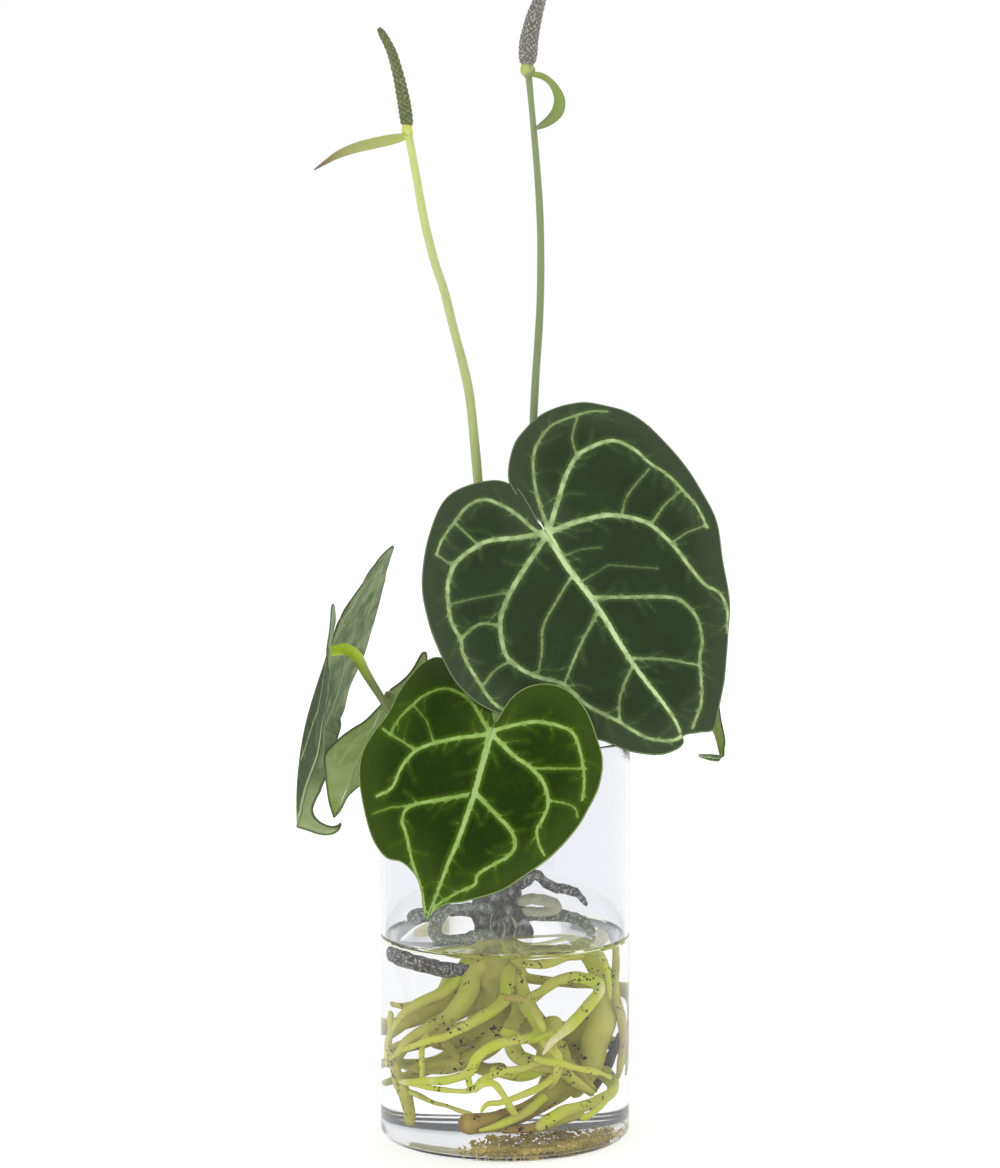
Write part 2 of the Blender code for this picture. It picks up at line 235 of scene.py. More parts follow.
# Where water touches the inside, light bends only by what glass has over water.
vase.data.materials.append(clear_finish(
    "wetted_glass", (1.0, 1.0, 1.0), GLASS_BENDING / WATER_BENDING, (1.0, 1.0, 1.0),
    ripple_size=22.0, ripple_strength=0.04))
for face in vase.data.polygons:
    reach = math.hypot(face.center.x, face.center.y)
    if (reach < VASE_INSIDE + 0.0001 and face.center.z < WATER_LEVEL
            and face.center.z > FLOOR_INSIDE - 0.0002):
        face.material_index = 1
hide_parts("glass_vase")
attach(vase, "root")


# Water: fills the lower half of the vase and climbs the glass a little at its edge.
# It is clear with a faint yellow-green cast from the roots.
WATER_SIDE = VASE_INSIDE + 0.00012
WATER_FLOOR = FLOOR_INSIDE - 0.00012
# Painted reflection: between these distances from the middle, the water's top turns partly matt
# white.
PAINTED_REFLECTION_START = 0.030
PAINTED_REFLECTION_END = 0.052
PAINTED_REFLECTION_CLEARNESS = 0.72
EDGE_START = 0.0562
EDGE_RISE = 0.0012

water_outline = [(0.0, WATER_LEVEL), (0.030, WATER_LEVEL), (0.050, WATER_LEVEL)]
water_outline += [(0.0558, WATER_LEVEL), (0.0568, WATER_LEVEL + 0.0003),
                  (WATER_SIDE, WATER_LEVEL + EDGE_RISE)]
water_outline += [(WATER_SIDE, h) for h in (WATER_LEVEL - 0.0014, 0.09, 0.07, 0.05, 0.03)]
water_outline += arc_points((WATER_SIDE - INNER_CORNER, WATER_FLOOR + INNER_CORNER),
                            INNER_CORNER, 0, -90, 8)
water_outline += [(0.0, WATER_FLOOR)]
water = turned_body("water_body", water_outline)

still_water = clear_finish("still_water", (1.0, 1.0, 0.985), WATER_BENDING,
                           (0.99, 0.99, 0.96), ripple_size=30.0, ripple_strength=0.03)
# Painted reflection: towards the two sides the surface turns partly matt white, lit by the room and
# the lamps, in place of a brighter reflection there.
reflection_paint_tree = still_water.node_tree
reflection_paint_axes = add_node(reflection_paint_tree, "SeparateXYZ", {"Vector": object_place(reflection_paint_tree)}).outputs
aside = reckon(reflection_paint_tree, "ABSOLUTE", reflection_paint_axes["X"])
set_shader(reflection_paint_tree, {"Transmission Weight": spread(reflection_paint_tree, aside, PAINTED_REFLECTION_START, PAINTED_REFLECTION_END,
                                                     1.0, PAINTED_REFLECTION_CLEARNESS)})
water.data.materials.append(still_water)
water.data.materials.append(clear_finish(
    "water_edge", (0.86, 0.90, 0.60), WATER_BENDING, (0.97, 0.98, 0.85),
    ripple_size=30.0, ripple_strength=0.03))
# Where the water lies against the glass, the glass alone bends the light.
water.data.materials.append(clear_finish(
    "water_against_glass", (1.0, 1.0, 1.0), 1.0, (1.0, 1.0, 1.0), ripple_size=30.0,
    ripple_strength=0.0, let_through=("Is Transmission Ray", "Is Diffuse Ray", "Is Shadow Ray")))
for face in water.data.polygons:
    if face.center.z < WATER_LEVEL - 0.0005:
        face.material_index = 2
    elif math.hypot(face.center.x, face.center.y) > EDGE_START:
        face.material_index = 1
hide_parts("water")
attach(water, "root")


# Living roots: thick smooth fleshy roots, yellow-green from light reaching them in the
# water. They leave the foot of the rootstock and wind round the glass down to its floor.
def smooth_line(points, count):
    # Points spread along a smooth line through the given ones; works on any width of row.
    rows = np.array(points, dtype=float)
    rows = np.vstack([2 * rows[0] - rows[1], rows, 2 * rows[-1] - rows[-2]])
    spans = len(points) - 1
    where = np.linspace(0, spans, count)
    k = np.minimum(where.astype(int), spans - 1)
    t = (where - k)[:, None]
    a, b, c, d = rows[k], rows[k + 1], rows[k + 2], rows[k + 3]
    return 0.5 * (2 * b + (c - a) * t + (2 * a - 5 * b + 4 * c - d) * t ** 2
                  + (3 * b - a - 3 * c + d) * t ** 3)


def wander(place):
    # A gentle uneven value between about -1 and 1 that changes with place.
    x, y, z = place
    value = math.sin(1.7 * x + 2.3 * math.sin(1.1 * y + 0.4)) * math.cos(1.3 * z + 0.9 * y)
    return 0.6 * value + 0.4 * math.sin(2.9 * y - 1.9 * z + 1.5 * math.sin(1.6 * x))


def tube_mesh(points, count, sides, round_ends):
    # A closed round tube through (x, y, z, radius) points in millimetres. Round ends
    # narrow like a dome over their last radius of length.
    line = smooth_line(points, count)
    if round_ends:
        walked = np.cumsum(np.linalg.norm(np.diff(line[:, :3], axis=0, prepend=line[:1, :3]),
                                          axis=1))
        left = np.minimum(walked, walked[-1] - walked) / line[:, 3]
        line[:, 3] *= np.sqrt(1 - (1 - np.minimum(left, 1)) ** 2)
    curve = bpy.data.curves.new("strand", "CURVE")
    curve.dimensions = "3D"
    curve.bevel_depth = 0.001
    curve.bevel_resolution = sides
    curve.use_fill_caps = True
    spline = curve.splines.new("POLY")
    spline.points.add(count - 1)
    for i, row in enumerate(line):
        spline.points[i].co = (row[0] / 1000, row[1] / 1000, row[2] / 1000, 1.0)
        spline.points[i].radius = max(row[3], 0.05)
    shaper = bpy.data.objects.new("strand", curve)
    bpy.context.scene.collection.objects.link(shaper)
    graph = bpy.context.evaluated_depsgraph_get()
    mesh = bpy.data.meshes.new_from_object(shaper.evaluated_get(graph))
    bpy.data.objects.remove(shaper, do_unlink=True)
    bpy.data.curves.remove(curve)
    return mesh, line


def route_length(points):
    # The length of a broken line through the points, in millimetres.
    return sum(math.dist(a[:3], b[:3]) for a, b in zip(points[:-1], points[1:]))


def grown_body(name, strands, step, sides=5, lumps=0.0, lump_size=6.0, round_ends=False):
    # One grown piece made of round strands, each (tone at the start, tone at the end,
    # points). "along" keeps the share of a strand's length and "tone" its colour step;
    # lumps is how far the surface wanders in or out and lump_size how wide the lumps are,
    # in millimetres; round_ends closes every strand with a dome.
    whole = bmesh.new()
    for tone_start, tone_end, points in strands:
        count = max(8, int(route_length(points) / step))
        mesh, line = tube_mesh(points, count, sides, round_ends)
        work = bmesh.new()
        work.from_mesh(mesh)
        work.verts.layers.float.new("along")
        work.verts.layers.float.new("tone")
        share = work.verts.layers.float["along"]
        tone = work.verts.layers.float["tone"]
        bmesh.ops.remove_doubles(work, verts=work.verts, dist=2e-6)
        bmesh.ops.recalc_face_normals(work, faces=work.faces)
        work.normal_update()
        middle = line[:, :3] / 1000
        for vert in work.verts:
            gap = ((middle - np.array(vert.co)) ** 2).sum(axis=1)
            vert[share] = int(gap.argmin()) / (count - 1)
            vert[tone] = tone_start + (tone_end - tone_start) * vert[share]
        if lumps:
            swell = [wander(vert.co * 1000 / lump_size) for vert in work.verts]
            for vert, amount in zip(work.verts, swell):
                vert.co += vert.normal * amount * lumps / 1000
        work.to_mesh(mesh)
        work.free()
        whole.from_mesh(mesh)
        bpy.data.meshes.remove(mesh)
    return smooth_object(name, whole)


def layer(tree, name, kind="Fac"):
    # What a layer of the mesh says at each place.
    read = add_node(tree, "Attribute", {})
    read.attribute_name = name
    return read.outputs[kind]


def vector_sum(tree, operation, *values):
    # One sum on places or colours, such as LENGTH.
    step = tree.nodes.new("ShaderNodeVectorMath")
    step.operation = operation
    return fill(tree, step, dict(enumerate(values)))


def blend(tree, share, under, over, blend_type="MIX"):
    # One colour over another by a share from 0 to 1.
    mix = tree.nodes.new("ShaderNodeMix")
    mix.data_type = "RGBA"
    mix.blend_type = blend_type
    return fill(tree, mix, {"Factor": share, "A": under, "B": over}).outputs["Result"]


def colour_steps(tree, value, steps):
    # The colour for a value from rows of (value, colour); the two ends come first.
    ramp = add_node(tree, "ValToRGB", {"Fac": value})
    stops = ramp.color_ramp.elements
    for i, (position, colour) in enumerate(steps):
        stop = stops[i] if i < 2 else stops.new(position)
        stop.position = position
        stop.color = (*colour, 1.0)
    return ramp.outputs["Color"]


def root_finish(name, steps, speck_from, grain):
    # Colour steps along the "tone" attribute, clouded, with dark specks of debris; the
    # higher speck_from, the fewer specks. grain is how rough the surface looks.
    finish, tree = new_finish(name)
    place = object_place(tree)
    cloud = noise(tree, place, 60.0, 4.0)
    drift = spread(tree, cloud, 0.3, 0.7, -0.18, 0.18)
    colour = colour_steps(tree, reckon(tree, "ADD", layer(tree, "tone"), drift), steps)
    warp = add_node(tree, "TexNoise", {"Vector": place, "Scale": 700.0}).outputs["Color"]
    moved = vector_sum(tree, "MULTIPLY_ADD", warp, (0.004, 0.004, 0.004), place)
    speck = add_node(tree, "TexVoronoi", {"Vector": moved.outputs["Vector"], "Scale": 450.0})
    dot = reckon(tree, "LESS_THAN", speck.outputs["Distance"], 0.33)
    rare = reckon(tree, "GREATER_THAN", noise(tree, place, 90.0), speck_from)
    dotted = blend(tree, reckon(tree, "MULTIPLY", dot, rare), colour, (0.02, 0.018, 0.01))
    set_shader(tree, {"Base Color": dotted, "Roughness": 0.5, "Specular IOR Level": 0.08,
                      "Normal": relief(tree, cloud, grain, 0.0006)})
    return finish


# Tone runs from whitish growing tips through lime and yellow-green to olive, tan and
# finally the grey-brown of a dead root.
living_root = root_finish("living_root", [
    (0.0, (0.74, 0.72, 0.38)), (1.0, (0.08, 0.068, 0.055)), (0.16, (0.53, 0.62, 0.04)),
    (0.4, (0.58, 0.58, 0.13)), (0.62, (0.40, 0.39, 0.07)), (0.82, (0.43, 0.30, 0.08)),
    (0.92, (0.20, 0.13, 0.04))], speck_from=0.56, grain=0.3)

LIVING_ROOTS = {
    "root_01_left": [
        (0.32, 0.45, [(-6, -1, 90, 3.6), (-13, -3, 85, 3.9), (-17, -7, 79, 3.5),
                      (-24, -14, 73, 3.0), (-34, -20, 69, 2.5), (-43, -23, 64, 2.1),
                      (-48, -20, 57, 1.7), (-50, -14, 50, 0.8)]),
        (0.36, 0.42, [(-17, 2, 81, 4.4), (-19, 1, 73, 4.8), (-23, 0, 66, 4.6), (-31, -4, 62, 4),
                      (-39, -8, 57, 3.2), (-47, -10, 51, 2.4), (-53, -10, 46, 1.4)]),
        (0.6, 0.55, [(-24, -14, 50, 2), (-21, -16, 46, 2.2), (-18, -18, 41, 1.6)]),
        (0.45, 0.5, [(-23, -13, 73, 2.4), (-32, -16, 68, 1.9), (-42, -17, 66, 1.7),
                     (-50, -14, 66, 1.2)])],
    "root_02_left_front": [
        (0.36, 0.5, [(-7, -5, 88, 4.2), (-12, -8, 80, 4.2), (-15, -15, 72, 4.0),
                     (-22, -24, 64, 3.6), (-33, -31, 58, 2.9), (-42, -31, 53, 2.3),
                     (-47, -25, 46, 1.8), (-50, -17, 40, 0.8)]),
        (0.3, 0.42, [(-33, -31, 58, 1.9), (-36, -34, 52, 1.6), (-37, -36, 45, 1.5),
                     (-37, -37, 38, 1.4), (-38, -37, 33, 1.2)])],
    "root_03_front_left": [
        (0.2, 0.3, [(0, -4, 88, 2.9), (1, -11, 79, 2.9), (-1, -22, 70, 2.7), (-9, -33, 65, 2.4),
                    (-19, -39, 60, 2.1), (-27, -41, 56, 1.8), (-35, -41, 54, 1.6),
                    (-43, -33, 49, 1.2), (-48, -24, 45, 0.6)])],
    "root_04_front_long": [
        (0.35, 0.2, [(4, -7, 82, 3.0), (8, -15, 67, 2.9), (14, -25, 58, 2.6), (10, -35, 55, 2.3),
                     (3, -41, 55, 2.4), (-5, -45, 53, 2.5), (-12, -47, 48, 2.5),
                     (-16, -48, 41, 2.3), (-25, -47, 37, 2.1), (-35, -41, 35, 1.9),
                     (-44, -31, 32, 1.6), (-49, -21, 30, 0.7)]),
        (0.3, 0.35, [(19, -31, 45, 1.8), (8, -42, 42, 1.8), (-1, -46, 41, 1.7),
                     (-9, -49, 38, 1.6), (-15, -50, 33, 1.5), (-24, -48, 32, 1.4),
                     (-36, -41, 32, 1.1), (-45, -30, 31, 0.6)]),
        (0.2, 0.25, [(-17, -48, 40, 1.7), (-15, -50, 33, 1.5), (-10, -50, 36, 1.5),
                     (-5, -50, 36, 1.6), (-1, -49, 31, 1.7), (2, -48, 25, 1.6),
                     (5, -45, 20, 1.2)]),
        (0.2, 0.3, [(23, -36, 38, 1.8), (15, -43, 33, 1.7), (7, -47, 30, 1.6),
                    (-2, -49, 27, 1.5), (-8, -49, 26, 1.4), (-11, -49, 22, 0.8)]),
        (0.4, 0.5, [(4, -2, 84, 3.2), (5, -6, 72, 3.1), (5, -12, 63, 3.2), (2, -18, 55, 3.4),
                    (4, -21, 46, 3.3), (10, -25, 41, 3.1), (19, -27, 39, 2.7),
                    (27, -24, 36, 1.6)]),
        (0.2, 0.3, [(-2, -33, 58, 1.7), (2, -34, 57, 2.0), (9, -34, 54, 2.1), (16, -34, 55, 1.8),
                    (20, -33, 58, 1.1)])],
    "root_05_front_loop": [
        (0.4, 0.05, [(5, -6, 76, 3.0), (7, -12, 69, 2.5), (14, -18, 74, 2.4), (21, -22, 80, 2.5),
                     (29, -26, 82, 2.7), (38, -29, 80, 3.0), (42, -31, 76, 3.0),
                     (36, -36, 69, 3.1), (28, -40, 61, 2.8), (21, -43, 55, 2.0),
                     (16, -45, 48, 0.5)]),
        (0.8, 0.3, [(-1, -34, 74, 1.5), (4, -35, 74, 1.8), (8, -36, 73, 1.9), (12, -37, 69, 1.9),
                    (15, -37, 63, 1.8), (17, -37, 58, 1.3)])],
    "root_06_right": [
        (0.3, 0.35, [(2, -5, 89, 2.2), (8, -13, 87, 2.2), (15, -15, 87, 2.3), (23, -12, 90, 2.6),
                     (29, -4, 90, 3.2)]),
        (0.3, 0.5, [(29, 2, 91, 4), (33, 2, 84, 4.2), (36, 2, 75, 4.6), (37, 2, 65, 5),
                    (36, 0, 55, 5.8), (33, -1, 46, 5.8), (32, -2, 37, 5.2), (29, -4, 29, 4.4),
                    (26, -8, 21, 2.2)]),
        (0.2, 0.3, [(32, -6, 91, 1.6), (38, -12, 90, 1.5), (41, -14, 84, 1.6),
                    (42, -12, 76, 1.5), (41, -6, 67, 1.0)]),
        (0.25, 0.3, [(12, -38, 46, 1.7), (16, -40, 45, 1.8), (24, -42, 44, 1.6),
                     (32, -40, 41, 1.5), (42, -33, 37, 1.3), (48, -24, 32, 0.8)]),
        (0.5, 0.62, [(30, 12, 60, 4), (25, 12, 48, 5.2), (21, 10, 39, 5.6), (17, 6, 29, 4.6),
                     (13, 0, 22, 3)]),
        (0.45, 0.4, [(19, -8, 61, 3.4), (17, -10, 54, 3.8), (16, -14, 46, 3.8), (14, -18, 38, 3),
                     (8, -22, 34, 1.8)]),
        (0.3, 0.25, [(-6, -24, 39, 2), (0, -24, 36, 2.4), (7, -24, 35, 2.6), (16, -26, 39, 2.4),
                     (23, -28, 44, 1.6)]),
        (0.35, 0.3, [(5, -20, 44, 2.6), (11, -22, 42, 2.8), (20, -22, 39, 2.8),
                     (27, -20, 32, 2.6), (36, -16, 23, 1.6)]),
        (0.55, 0.7, [(26, -6, 31, 4.2), (21, -10, 25, 4.6), (15, -14, 21, 4.6),
                     (7, -18, 16, 3.6)]),
        (0.35, 0.45, [(15, -34, 54, 2.1), (19, -37, 51, 2.2), (23, -40, 47, 2.1),
                      (23, -40, 41, 2.0), (21, -38, 35, 1.6), (18, -36, 31, 1.0)])],
    "root_07_right_back": [
        (0.6, 0.65, [(4, 6, 84, 3.4), (6, 12, 77, 2.5), (13, 17, 74, 2.3), (20, 21, 72, 2.3),
                     (31, 25, 69, 2.4), (41, 21, 61, 2.6), (45, 14, 50, 2.7), (47, 8, 38, 2.2),
                     (47, 3, 27, 1.0)]),
        (0.55, 0.6, [(46, 14, 94, 2.4), (48, 12, 80, 2.6), (48, 10, 62, 2.8), (48, 12, 48, 2.6),
                     (46, 10, 34, 1.8)]),
        (0.55, 0.7, [(43, -4, 95, 2.0), (44, -6, 84, 2.1), (43, -4, 70, 2.2), (45, 0, 57, 2.6),
                     (46, 2, 46, 2.8), (45, 0, 36, 2.4), (45, -6, 28, 1.4)]),
        (1.0, 1.0, [(43, 4, 49, 1.6), (40, 7, 43, 2.1), (36, 10, 35, 2.2), (32, 12, 26, 2.1),
                    (30, 12, 20, 1.0)])],
    "root_08_back_right": [
        (0.5, 0.62, [(1, 8, 84, 3.6), (4, 15, 62, 3.6), (10, 21, 51, 3.5), (18, 24, 42, 3.9),
                     (24, 22, 37, 3.6), (27, 16, 30, 1.8)]),
        (0.5, 0.6, [(1, 9, 72, 3.2), (3, 24, 58, 3.2), (-2, 36, 46, 3.0), (-14, 40, 32, 2.6),
                    (-28, 32, 23, 2.0), (-37, 23, 19, 0.8)]),
        (0.5, 0.6, [(5, 8, 72, 3.2), (-4, 18, 57, 3.6), (-20, 22, 46, 3.3), (-34, 16, 40, 2.6),
                    (-46, 4, 36, 1.2)]),
        (0.4, 0.5, [(1, 3, 68, 4.4), (-2, 1, 55, 4.8), (-6, -4, 46, 4.4), (-14, -10, 41, 3.4),
                    (-26, -12, 38, 2.6), (-40, -10, 34, 1.4)])],
    "root_09_back_left": [
        (0.5, 0.62, [(-5, 7, 84, 3.8), (-7, 10, 64, 4.0), (-9, 15, 53, 4.4), (-13, 22, 43, 4.3),
                     (-17, 26, 35, 3.6), (-24, 26, 31, 3.0), (-33, 22, 31, 2.5),
                     (-41, 15, 31, 1.9), (-47, 6, 31, 0.8)]),
        (0.5, 0.6, [(-6, 8, 74, 3.0), (-14, 22, 62, 2.8), (-28, 32, 50, 2.6), (-40, 25, 41, 2.2),
                    (-47, 12, 34, 1.6), (-50, 3, 30, 0.7)]),
        (0.5, 0.6, [(-3, 8, 72, 3.0), (8, 16, 56, 3.4), (24, 20, 48, 3.1), (38, 14, 40, 2.4),
                    (47, 4, 33, 1.2)]),
        (0.4, 0.5, [(0, 2, 68, 4.2), (6, 4, 56, 4.6), (14, 2, 46, 4.0), (22, -4, 38, 3.2),
                    (30, -10, 30, 2.4), (37, -14, 24, 1.2)])],
    "root_10_left_blunt": [
        (0.5, 0.72, [(-4, 1, 84, 3.2), (-10, 2, 66, 3.0), (-24, 0, 56, 2.8), (-37, -8, 48, 2.6),
                     (-46, -17, 38, 2.4), (-46, -23, 31, 3.0), (-44, -26, 25, 4.0),
                     (-42, -28, 18, 3.3), (-42, -28, 13, 3.0), (-42, -28, 10.6, 1.8)]),
        (0.5, 0.55, [(-3, 4, 56, 5), (-9, 2, 53, 5.2), (-15, 0, 49, 4.6), (-21, -4, 47, 3.4),
                     (-29, -10, 48, 2.4)]),
        (0.45, 0.5, [(1, 6, 34, 3.4), (-6, 4, 33, 3.2), (-14, 2, 36, 3), (-22, 0, 34, 2.8),
                     (-34, 0, 34, 2.4), (-46, -4, 38, 1.4)]),
        (0.3, 0.35, [(-48, -10, 62, 2), (-49, -14, 55, 2), (-53, -14, 45, 2.2),
                     (-53, -14, 35, 2)]),
        (0.45, 0.5, [(-49, -10, 60, 1.4), (-50, -14, 50, 1.5), (-50, -16, 40, 1.5),
                     (-49, -19, 31, 1.6), (-46, -24, 24, 1.6)]),
        (0.4, 0.45, [(-43, -27, 27, 1.7), (-37, -33, 26, 1.4), (-31, -37, 24, 1.3),
                     (-25, -39, 23, 1.2), (-19, -40, 21, 1.1), (-14, -40, 20, 0.7)])],
    "root_11_floor_left": [
        (0.6, 0.86, [(3, -3, 84, 3.2), (9, -6, 64, 3.2), (20, -9, 46, 3.4), (22, -14, 33, 3.9),
                     (17, -22, 25, 4.2), (10, -28, 20, 4.4), (1, -34, 17, 4.5),
                     (-8, -38, 15.5, 4.7), (-17, -41, 15, 5.0), (-20, -42, 14.8, 5.0)]),
        (0.25, 0.3, [(17, -31, 27, 2.3), (10, -38, 21, 2.1), (3, -43, 18, 2.0),
                     (-4, -45, 15, 1.8), (-12, -46, 13, 0.9)])],
    "root_12_floor_right": [
        (0.45, 0.25, [(2, 3, 84, 3.2), (8, 9, 62, 3.0), (22, 12, 42, 3.0), (37, 6, 27, 3.0),
                      (43, -10, 23, 2.8), (37, -24, 21, 2.9), (28, -32, 20, 3.1),
                      (21, -38, 18, 3.1), (16, -42, 15, 2.9), (14, -43, 12, 1.8)]),
        (0.5, 0.75, [(34, -29, 18, 1.8), (27, -34, 16, 2.0), (19, -36, 14, 2.3),
                     (9, -38, 12.5, 2.4), (-2, -40, 12.5, 1.5)]),
        (0.25, 0.3, [(33, -37, 16, 1.6), (40, -36, 19, 1.5), (46, -28, 23, 1.3),
                     (50, -18, 25, 0.8)])],
}
for root_name, strands in LIVING_ROOTS.items():
    root = grown_body(root_name + "_grown", strands, step=1.0, sides=5, lumps=0.35,
                      lump_size=6.0, round_ends=True)
    root.data.materials.append(living_root)
    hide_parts(root_name)
    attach(root, "root")


# Rootstock: the short knobbly stem that every leaf stalk and root grows from. Above the
# water its bark is dark grey-brown; below it is washed olive-green.
rootstock = grown_body("rootstock_grown", [
    (0.0, 0.0, [(-3, -3, 60, 4.0), (-4, -3, 66, 7.0), (-4, -3, 74, 8.6), (-4, -2, 82, 8.8),
                (-4, -1, 90, 8.8), (-4, 0, 98, 9.0), (-4, 0, 106, 9.2), (-3, 0, 114, 9.6),
                (-2, 0, 121, 10.2), (-1, 0, 126, 10.4)]),
    (0.0, 0.0, [(8, -2, 94, 4.0), (8, -3, 100, 4.6), (6, -4, 106, 4.4), (4, -5, 112, 4.0),
                (4, -4, 118, 3.4)]),
    (0.0, 0.3, [(-9, -5, 97, 3.2), (-11, -5, 103, 4.0), (-11, -4, 110, 4.6), (-8, -3, 118, 4.0)]),
    (0.3, 0.0, [(-3, -8, 95, 2.4), (-1, -10, 101, 3.0), (1, -11, 108, 3.2), (1, -8, 116, 3.0)]),
    (1.6, 1.2, [(-6, -9, 110, 0.7), (-7, -12, 103, 0.6), (-5, -13, 97, 0.4)]),
    (1.6, 1.2, [(-1, -12, 107, 0.6), (0, -15, 101, 0.6), (-2, -16, 96, 0.4)]),
    (1.6, 1.2, [(2, -12, 109, 0.7), (5, -15, 103, 0.6), (4, -16, 97, 0.4)])],
    step=0.8, sides=12, lumps=1.3, lump_size=3.6)


def bark_finish(name, wet_colour, wet_share, fleck_share):
    # Rough dark bark with pale flecks. "tone" turns it green-grey up to 1 and pale beyond,
    # and below 0 dark brown; under water it takes on wet_colour. Each step is a value,
    # where on it the new colour starts and is full, its share and the colour.
    finish, tree = new_finish(name)
    place = object_place(tree)
    cloud = noise(tree, place, 210.0, 8.0, 0.65)
    colour = colour_steps(tree, cloud, [(0.36, (0.022, 0.020, 0.016)),
                                        (0.66, (0.44, 0.43, 0.42)), (0.52, (0.10, 0.096, 0.09))])
    tone = layer(tree, "tone")
    height = add_node(tree, "SeparateXYZ", {"Vector": place}).outputs["Z"]
    fleck = noise(tree, place, 850.0)
    steps = ((tone, 0.0, 1.0, 0.7, (0.23, 0.27, 0.17)), (tone, 1.0, 1.6, 0.8, (0.50, 0.49, 0.33)),
             (height, 0.098, 0.090, wet_share, wet_colour),
             (tone, -0.2, -0.9, 0.75, (0.045, 0.028, 0.008)),
             (fleck, 0.53, 0.63, fleck_share, (0.50, 0.51, 0.53)))
    for value, start, end, share, over in steps:
        colour = blend(tree, spread(tree, value, start, end, 0.0, share), colour, over)
    set_shader(tree, {"Base Color": colour, "Roughness": 0.7, "Specular IOR Level": 0.2,
                      "Normal": relief(tree, cloud, 0.9, 0.0014)})
    return finish


rootstock.data.materials.append(bark_finish("dark_bark", (0.46, 0.46, 0.08), wet_share=0.95,
                                            fleck_share=0.12))
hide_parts("rootstock")
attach(rootstock, "root")


# Dark roots: old roots of the same rootstock, gone grey-brown and woody. Four stand in
# the air above the water and one lies just under its surface on the left.
old_bark = bark_finish("old_root_bark", (0.12, 0.115, 0.12), wet_share=0.30, fleck_share=0.9)

DARK_ROOTS = {
    "aerial_root_right": [(0.0, 0.0, [(5, -4, 120, 3.6), (11, -5, 124.5, 3.0), (15, -6, 126.2, 2.5),
                                      (20, -6, 122.3, 2.5), (26, -6, 119.6, 2.4),
                                      (32, -6, 118.6, 2.2), (35.5, -6, 116.4, 1.8),
                                      (38, -6, 113, 1.2), (39, -6, 111, 0.5)])],
    "aerial_root_left": [(0.0, 0.6, [(-11, -2, 107, 3.6), (-20, -4, 109, 2.9), (-30, -7, 109, 2.9),
                                     (-38, -9, 107.3, 3.4), (-44, -9, 106.4, 3.7),
                                     (-46.4, -9, 106.1, 2.2)])],
    "aerial_root_arch": [(0.6, 1.1, [(-6, -8, 110, 3.2), (-12, -15, 112.8, 1.9),
                                     (-20, -19, 113.2, 1.7), (-27, -21, 111.6, 2.1),
                                     (-31.6, -22, 107.4, 2.9), (-33, -22, 102, 3.2),
                                     (-30, -21, 98.2, 2.9), (-22, -19, 97.6, 2.2),
                                     (-14, -14, 98.2, 2.8), (-5, -8, 99, 2.4)])],
    "aerial_root_low_right": [
        (0.3, 1.1, [(6, 0, 106, 3.2), (12, 1, 105.8, 3.0), (20, 2, 105.3, 2.8), (28, 3, 104.8, 2.8),
                    (35, 3, 103.2, 2.7), (40, 1, 100, 2.5), (42, -1, 95.5, 2.2)]),
        (1.6, 1.6, [(6, -8, 114, 2.6), (12, -12, 115.6, 2.6), (18, -13, 115.3, 2.7),
                    (23, -13, 113.4, 2.7), (24.5, -12.5, 111.2, 2.3), (20, -12, 109.6, 2.2),
                    (14, -12, 109.6, 2.2), (8, -9, 110, 2.4)])],
    "root_13_old_dark": [(0.0, -1.1, [(-11, -5, 83, 3.4), (-20, -8.5, 82.6, 3.6),
                                      (-31.7, -15, 85.9, 3.8), (-44.6, -18, 89.2, 4.0),
                                      (-50.2, -17, 90.6, 3.8), (-53.4, -15, 91.3, 2.6)])],
}
for root_name, strands in DARK_ROOTS.items():
    root = grown_body(root_name + "_grown", strands, step=0.7, sides=7, lumps=0.5,
                      lump_size=2.2, round_ends=True)
    root.data.materials.append(old_bark)
    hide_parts(root_name)
    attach(root, "root")


# Leaves: thick velvety heart-shaped blades, almost black-green with broad pale veins set
# in bright green borders; the underside is pale and matt. Each hangs from its own stalk.
CELL = 0.65
LEAF_THICKNESS = 0.00055
VEIN_JOIN = 0.45
BORDER_JOIN = 1.5
FLAT_BLADE = {"fold": (0, 0), "arch": (0, 0), "lobes": (0, 0), "tip": 0, "twist": 0,
              "close": 0, "bow": 0}


def smooth_margin(points):
    # A blade's margin, drawn smoothly through its points.
    return smooth_line(points, 10 * (len(points) - 1) + 1)


def inside(points, outline):
    # Which of the points lie inside a closed outline.
    hit = np.zeros(len(points), dtype=bool)
    ends = np.roll(outline, -1, axis=0)
    for (au, av), (bu, bv) in zip(outline, ends):
        if av == bv:
            continue
        between = (points[:, 1] > min(av, bv)) & (points[:, 1] <= max(av, bv))
        crossing = au + (points[:, 1] - av) * (bu - au) / (bv - av)
        hit ^= between & (crossing > points[:, 0])
    return hit


def nearest_on(points, outline):
    # Distance from each point to an outline, and the nearest place on it.
    best = np.full(len(points), 1e9)
    spot = points.copy()
    for a, b in zip(outline[:-1], outline[1:]):
        run = b - a
        span = max(float(run @ run), 1e-12)
        share = np.clip(((points - a) @ run) / span, 0.0, 1.0)
        place = a + share[:, None] * run
        gap = np.hypot(*(points - place).T)
        closer = gap < best
        best[closer] = gap[closer]
        spot[closer] = place[closer]
    return best, spot


